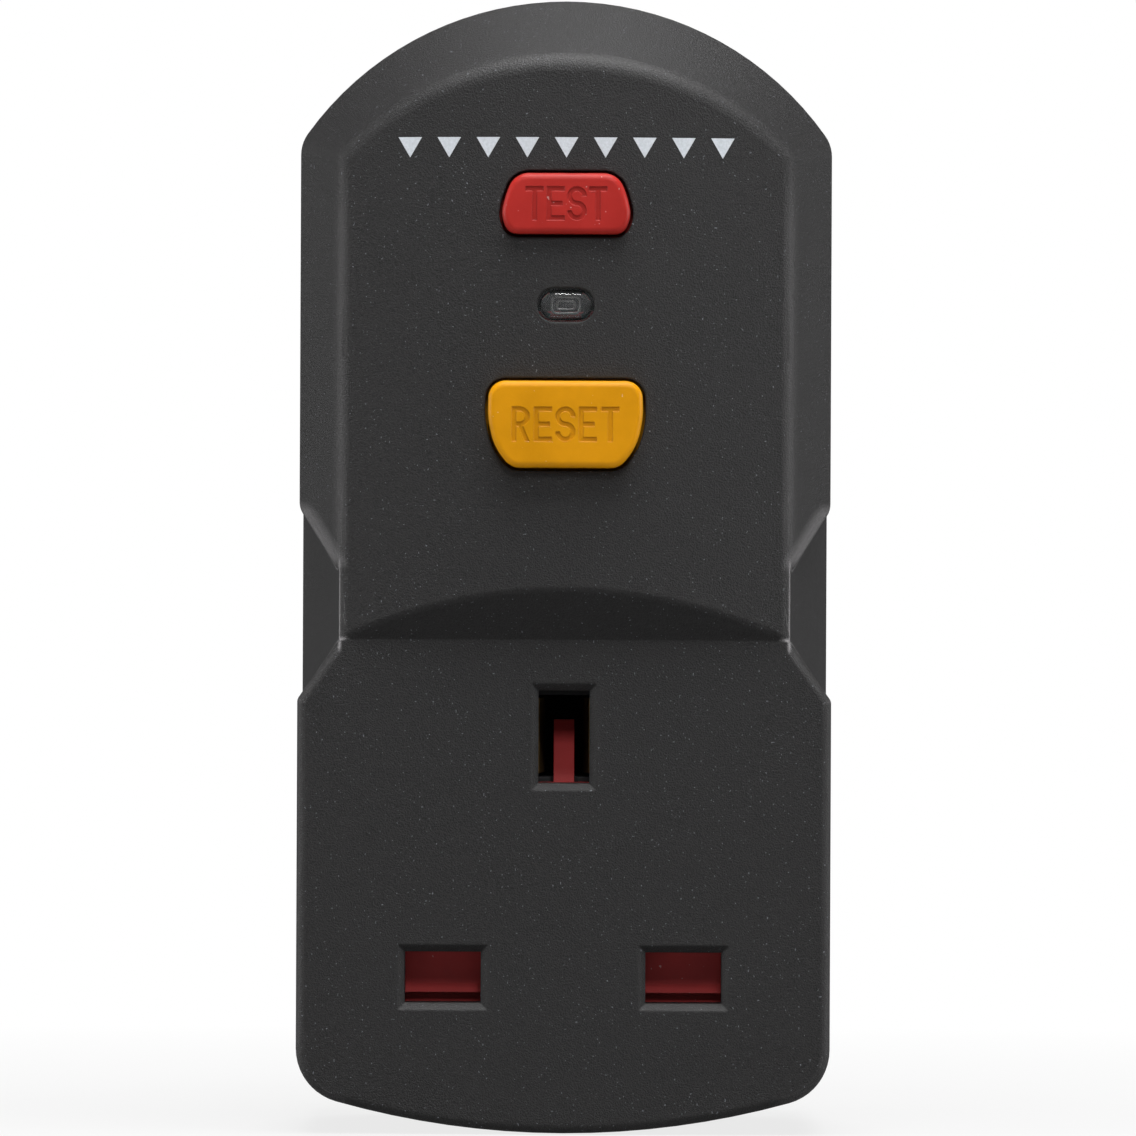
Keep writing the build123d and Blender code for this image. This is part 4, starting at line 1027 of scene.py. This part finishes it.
class ADAPTER_OT_board(bpy.types.Operator):
    """Gives the board and its parts their finishes and adds the solder on its back"""

    bl_idname = "adapter.board"
    bl_label = "Board"

    def execute(self, context):
        dress(laminate("board_green"), "circuit_board")
        chip = satin_plastic("chip_black", (0.02, 0.02, 0.021), roughness=0.5, edge=0.1 * MM)
        tan = satin_plastic("resistor_tan", (0.5, 0.33, 0.17), roughness=0.35, edge=0.3 * MM)
        yellow = satin_plastic("film_yellow", (0.6, 0.38, 0.05), roughness=0.35, edge=0.5 * MM)
        navy = satin_plastic("sleeve_blue", (0.02, 0.03, 0.07), roughness=0.3, edge=0.4 * MM)
        blue = satin_plastic("disc_blue", (0.04, 0.12, 0.4), roughness=0.35, edge=0.5 * MM)
        dress(chip, "control_chip", "rectifier_diodes")
        dress(tan, "test_resistor")
        dress(yellow, "film_capacitor")
        dress(navy, "round_capacitor")
        dress(blue, "varistor")
        solder = metal("solder", (0.6, 0.6, 0.61), roughness=0.25, stretch=(300, 300, 300))
        places = bpy.data.meshes.new("solder_places")
        places.from_pydata(self.places(), [], [])
        piece = grown("solder_joints", joints_tree(solder), places)
        hand_over(piece, "case", "bare_steel")
        return {"FINISHED"}

    def places(self):
        """Two points behind each soldered part, on the board's back face."""
        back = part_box("circuit_board")[1].y
        points = []
        for node in SOLDERED:
            low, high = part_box(node)
            middle = (low + high) / 2
            reach = (high.z - low.z) * SOLDER_SHARE
            points += [(middle.x, back, middle.z - reach), (middle.x, back, middle.z + reach)]
        return points


class ADAPTER_OT_print(bpy.types.Operator):
    """Prints a row of plain marks that point down to the test button"""

    bl_idname = "adapter.print"
    bl_label = "Print"

    def execute(self, context):
        detail = context.scene.adapter_detail
        ink = printed_ink("pale_ink", (0.55, 0.58, 0.62))
        piece = grown(
            "pointing_marks", marks_tree(ink), Count=detail.mark_count, Pitch=detail.mark_pitch,
            Size=detail.mark_size,
        )
        turned(piece, Matrix.Translation((0.0, 0.0, detail.mark_height)))
        wrap(piece, "front_shell", PRINT_LIFT)
        hand_over(piece, "case", "case_plastic")
        return {"FINISHED"}


class ADAPTER_OT_stage(bpy.types.Operator):
    """Makes the floor, the lamps, the world and the camera"""

    bl_idname = "adapter.stage"
    bl_label = "Stage"

    def execute(self, context):
        stage = context.scene.adapter_stage
        low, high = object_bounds()
        paper = paper_white("white_paper", (0.35, 0.35, 0.35), stage.paper)
        self.floor(paper, low.z - FLOOR_GAP)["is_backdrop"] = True
        for name, place, size in LAMPS:
            power = getattr(stage, name + "_power")
            self.lamp(name, Vector(place), (low + high) / 2, size, power)
        self.world(context, stage)
        self.camera(context)
        return {"FINISHED"}

    def floor(self, material, height):
        """A wide square floor at a height."""
        half = FLOOR_HALF
        corners = [(-half, -half), (half, -half), (half, half), (-half, half)]
        mesh = bpy.data.meshes.new("floor")
        mesh.from_pydata([(x, y, height) for x, y in corners], [], [(0, 1, 2, 3)])
        mesh.materials.append(material)
        return new_object("floor", mesh)

    def lamp(self, name, place, target, size, power):
        """A square soft box that faces a target."""
        light = bpy.data.lights.new(name, "AREA")
        light.shape = "SQUARE"
        light.size = size
        light.energy = power
        made = new_object(name, light)
        made.location = place
        made.rotation_euler = (place - target).to_track_quat("Z", "Y").to_euler()

    def world(self, context, stage):
        """White to the eye; in reflections, dim paper behind the object and a darker room."""
        world = bpy.data.worlds.new("studio")
        world.use_nodes = True
        wiring = Wiring(world.node_tree)
        way = wiring.node("ShaderNodeTexCoord", {}, out="Generated")
        behind = wiring.node("ShaderNodeSeparateXYZ", {}, way, out="Y")
        strength = (
            wiring.ray("Camera")
            + wiring.ray("Transmission") * behind.steps(ROOM_FROM, ROOM_TO, stage.room, 1.0)
            + wiring.ray("Glossy") * behind.steps(ROOM_FROM, ROOM_TO, stage.room, stage.paper)
            + wiring.ray("Diffuse") * stage.sky
        )
        background = world.node_tree.nodes["Background"]
        wiring.feed(background.inputs["Strength"], strength)
        wiring.feed(background.inputs["Color"], rgba((1.0, 1.0, 1.0)))
        context.scene.world = world
        context.scene.view_settings.view_transform = "Standard"

    def camera(self, context):
        """The photograph's view, square on to the outlet's face."""
        data = bpy.data.cameras.new("camera")
        data.sensor_width = SENSOR
        data.lens = SENSOR * CAMERA_DISTANCE / FRAME_WIDTH
        data.clip_start = 0.01
        data.clip_end = 20.0
        made = new_object("camera", data)
        made.location = (CAMERA_X, OUTLET_FACE - CAMERA_DISTANCE, CAMERA_Z)
        made.rotation_euler = (math.pi / 2, CAMERA_ROLL, 0.0)
        context.scene.camera = made


class ADAPTER_PT_panel(bpy.types.Panel):
    """Lists the settings and the steps that dress the adapter"""

    bl_idname = "ADAPTER_PT_panel"
    bl_label = "Adapter"
    bl_space_type = "VIEW_3D"
    bl_region_type = "UI"
    bl_category = "Adapter"

    def draw(self, context):
        for group in GROUPS:
            settings = getattr(context.scene, group)
            box = self.layout.box()
            for name in settings.__annotations__:
                box.prop(settings, name)
        for step in STEPS:
            self.layout.operator(step.bl_idname)


GROUPS = {
    "adapter_finish": AdapterFinish,
    "adapter_detail": AdapterDetail,
    "adapter_stage": AdapterStage,
}
STEPS = (
    ADAPTER_OT_case,
    ADAPTER_OT_buttons,
    ADAPTER_OT_shutter,
    ADAPTER_OT_pins,
    ADAPTER_OT_mechanism,
    ADAPTER_OT_board,
    ADAPTER_OT_print,
    ADAPTER_OT_stage,
)


def register():
    for name, group in GROUPS.items():
        bpy.utils.register_class(group)
        setattr(bpy.types.Scene, name, bpy.props.PointerProperty(type=group))
    for cls in STEPS + (ADAPTER_PT_panel,):
        bpy.utils.register_class(cls)


def unregister():
    for cls in (ADAPTER_PT_panel,) + STEPS[::-1]:
        bpy.utils.unregister_class(cls)
    for name, group in GROUPS.items():
        delattr(bpy.types.Scene, name)
        bpy.utils.unregister_class(group)


def main():
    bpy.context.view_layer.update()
    register()
    for step in STEPS:
        module, name = step.bl_idname.split(".")
        getattr(getattr(bpy.ops, module), name)()


if __name__ == "__main__":
    main()
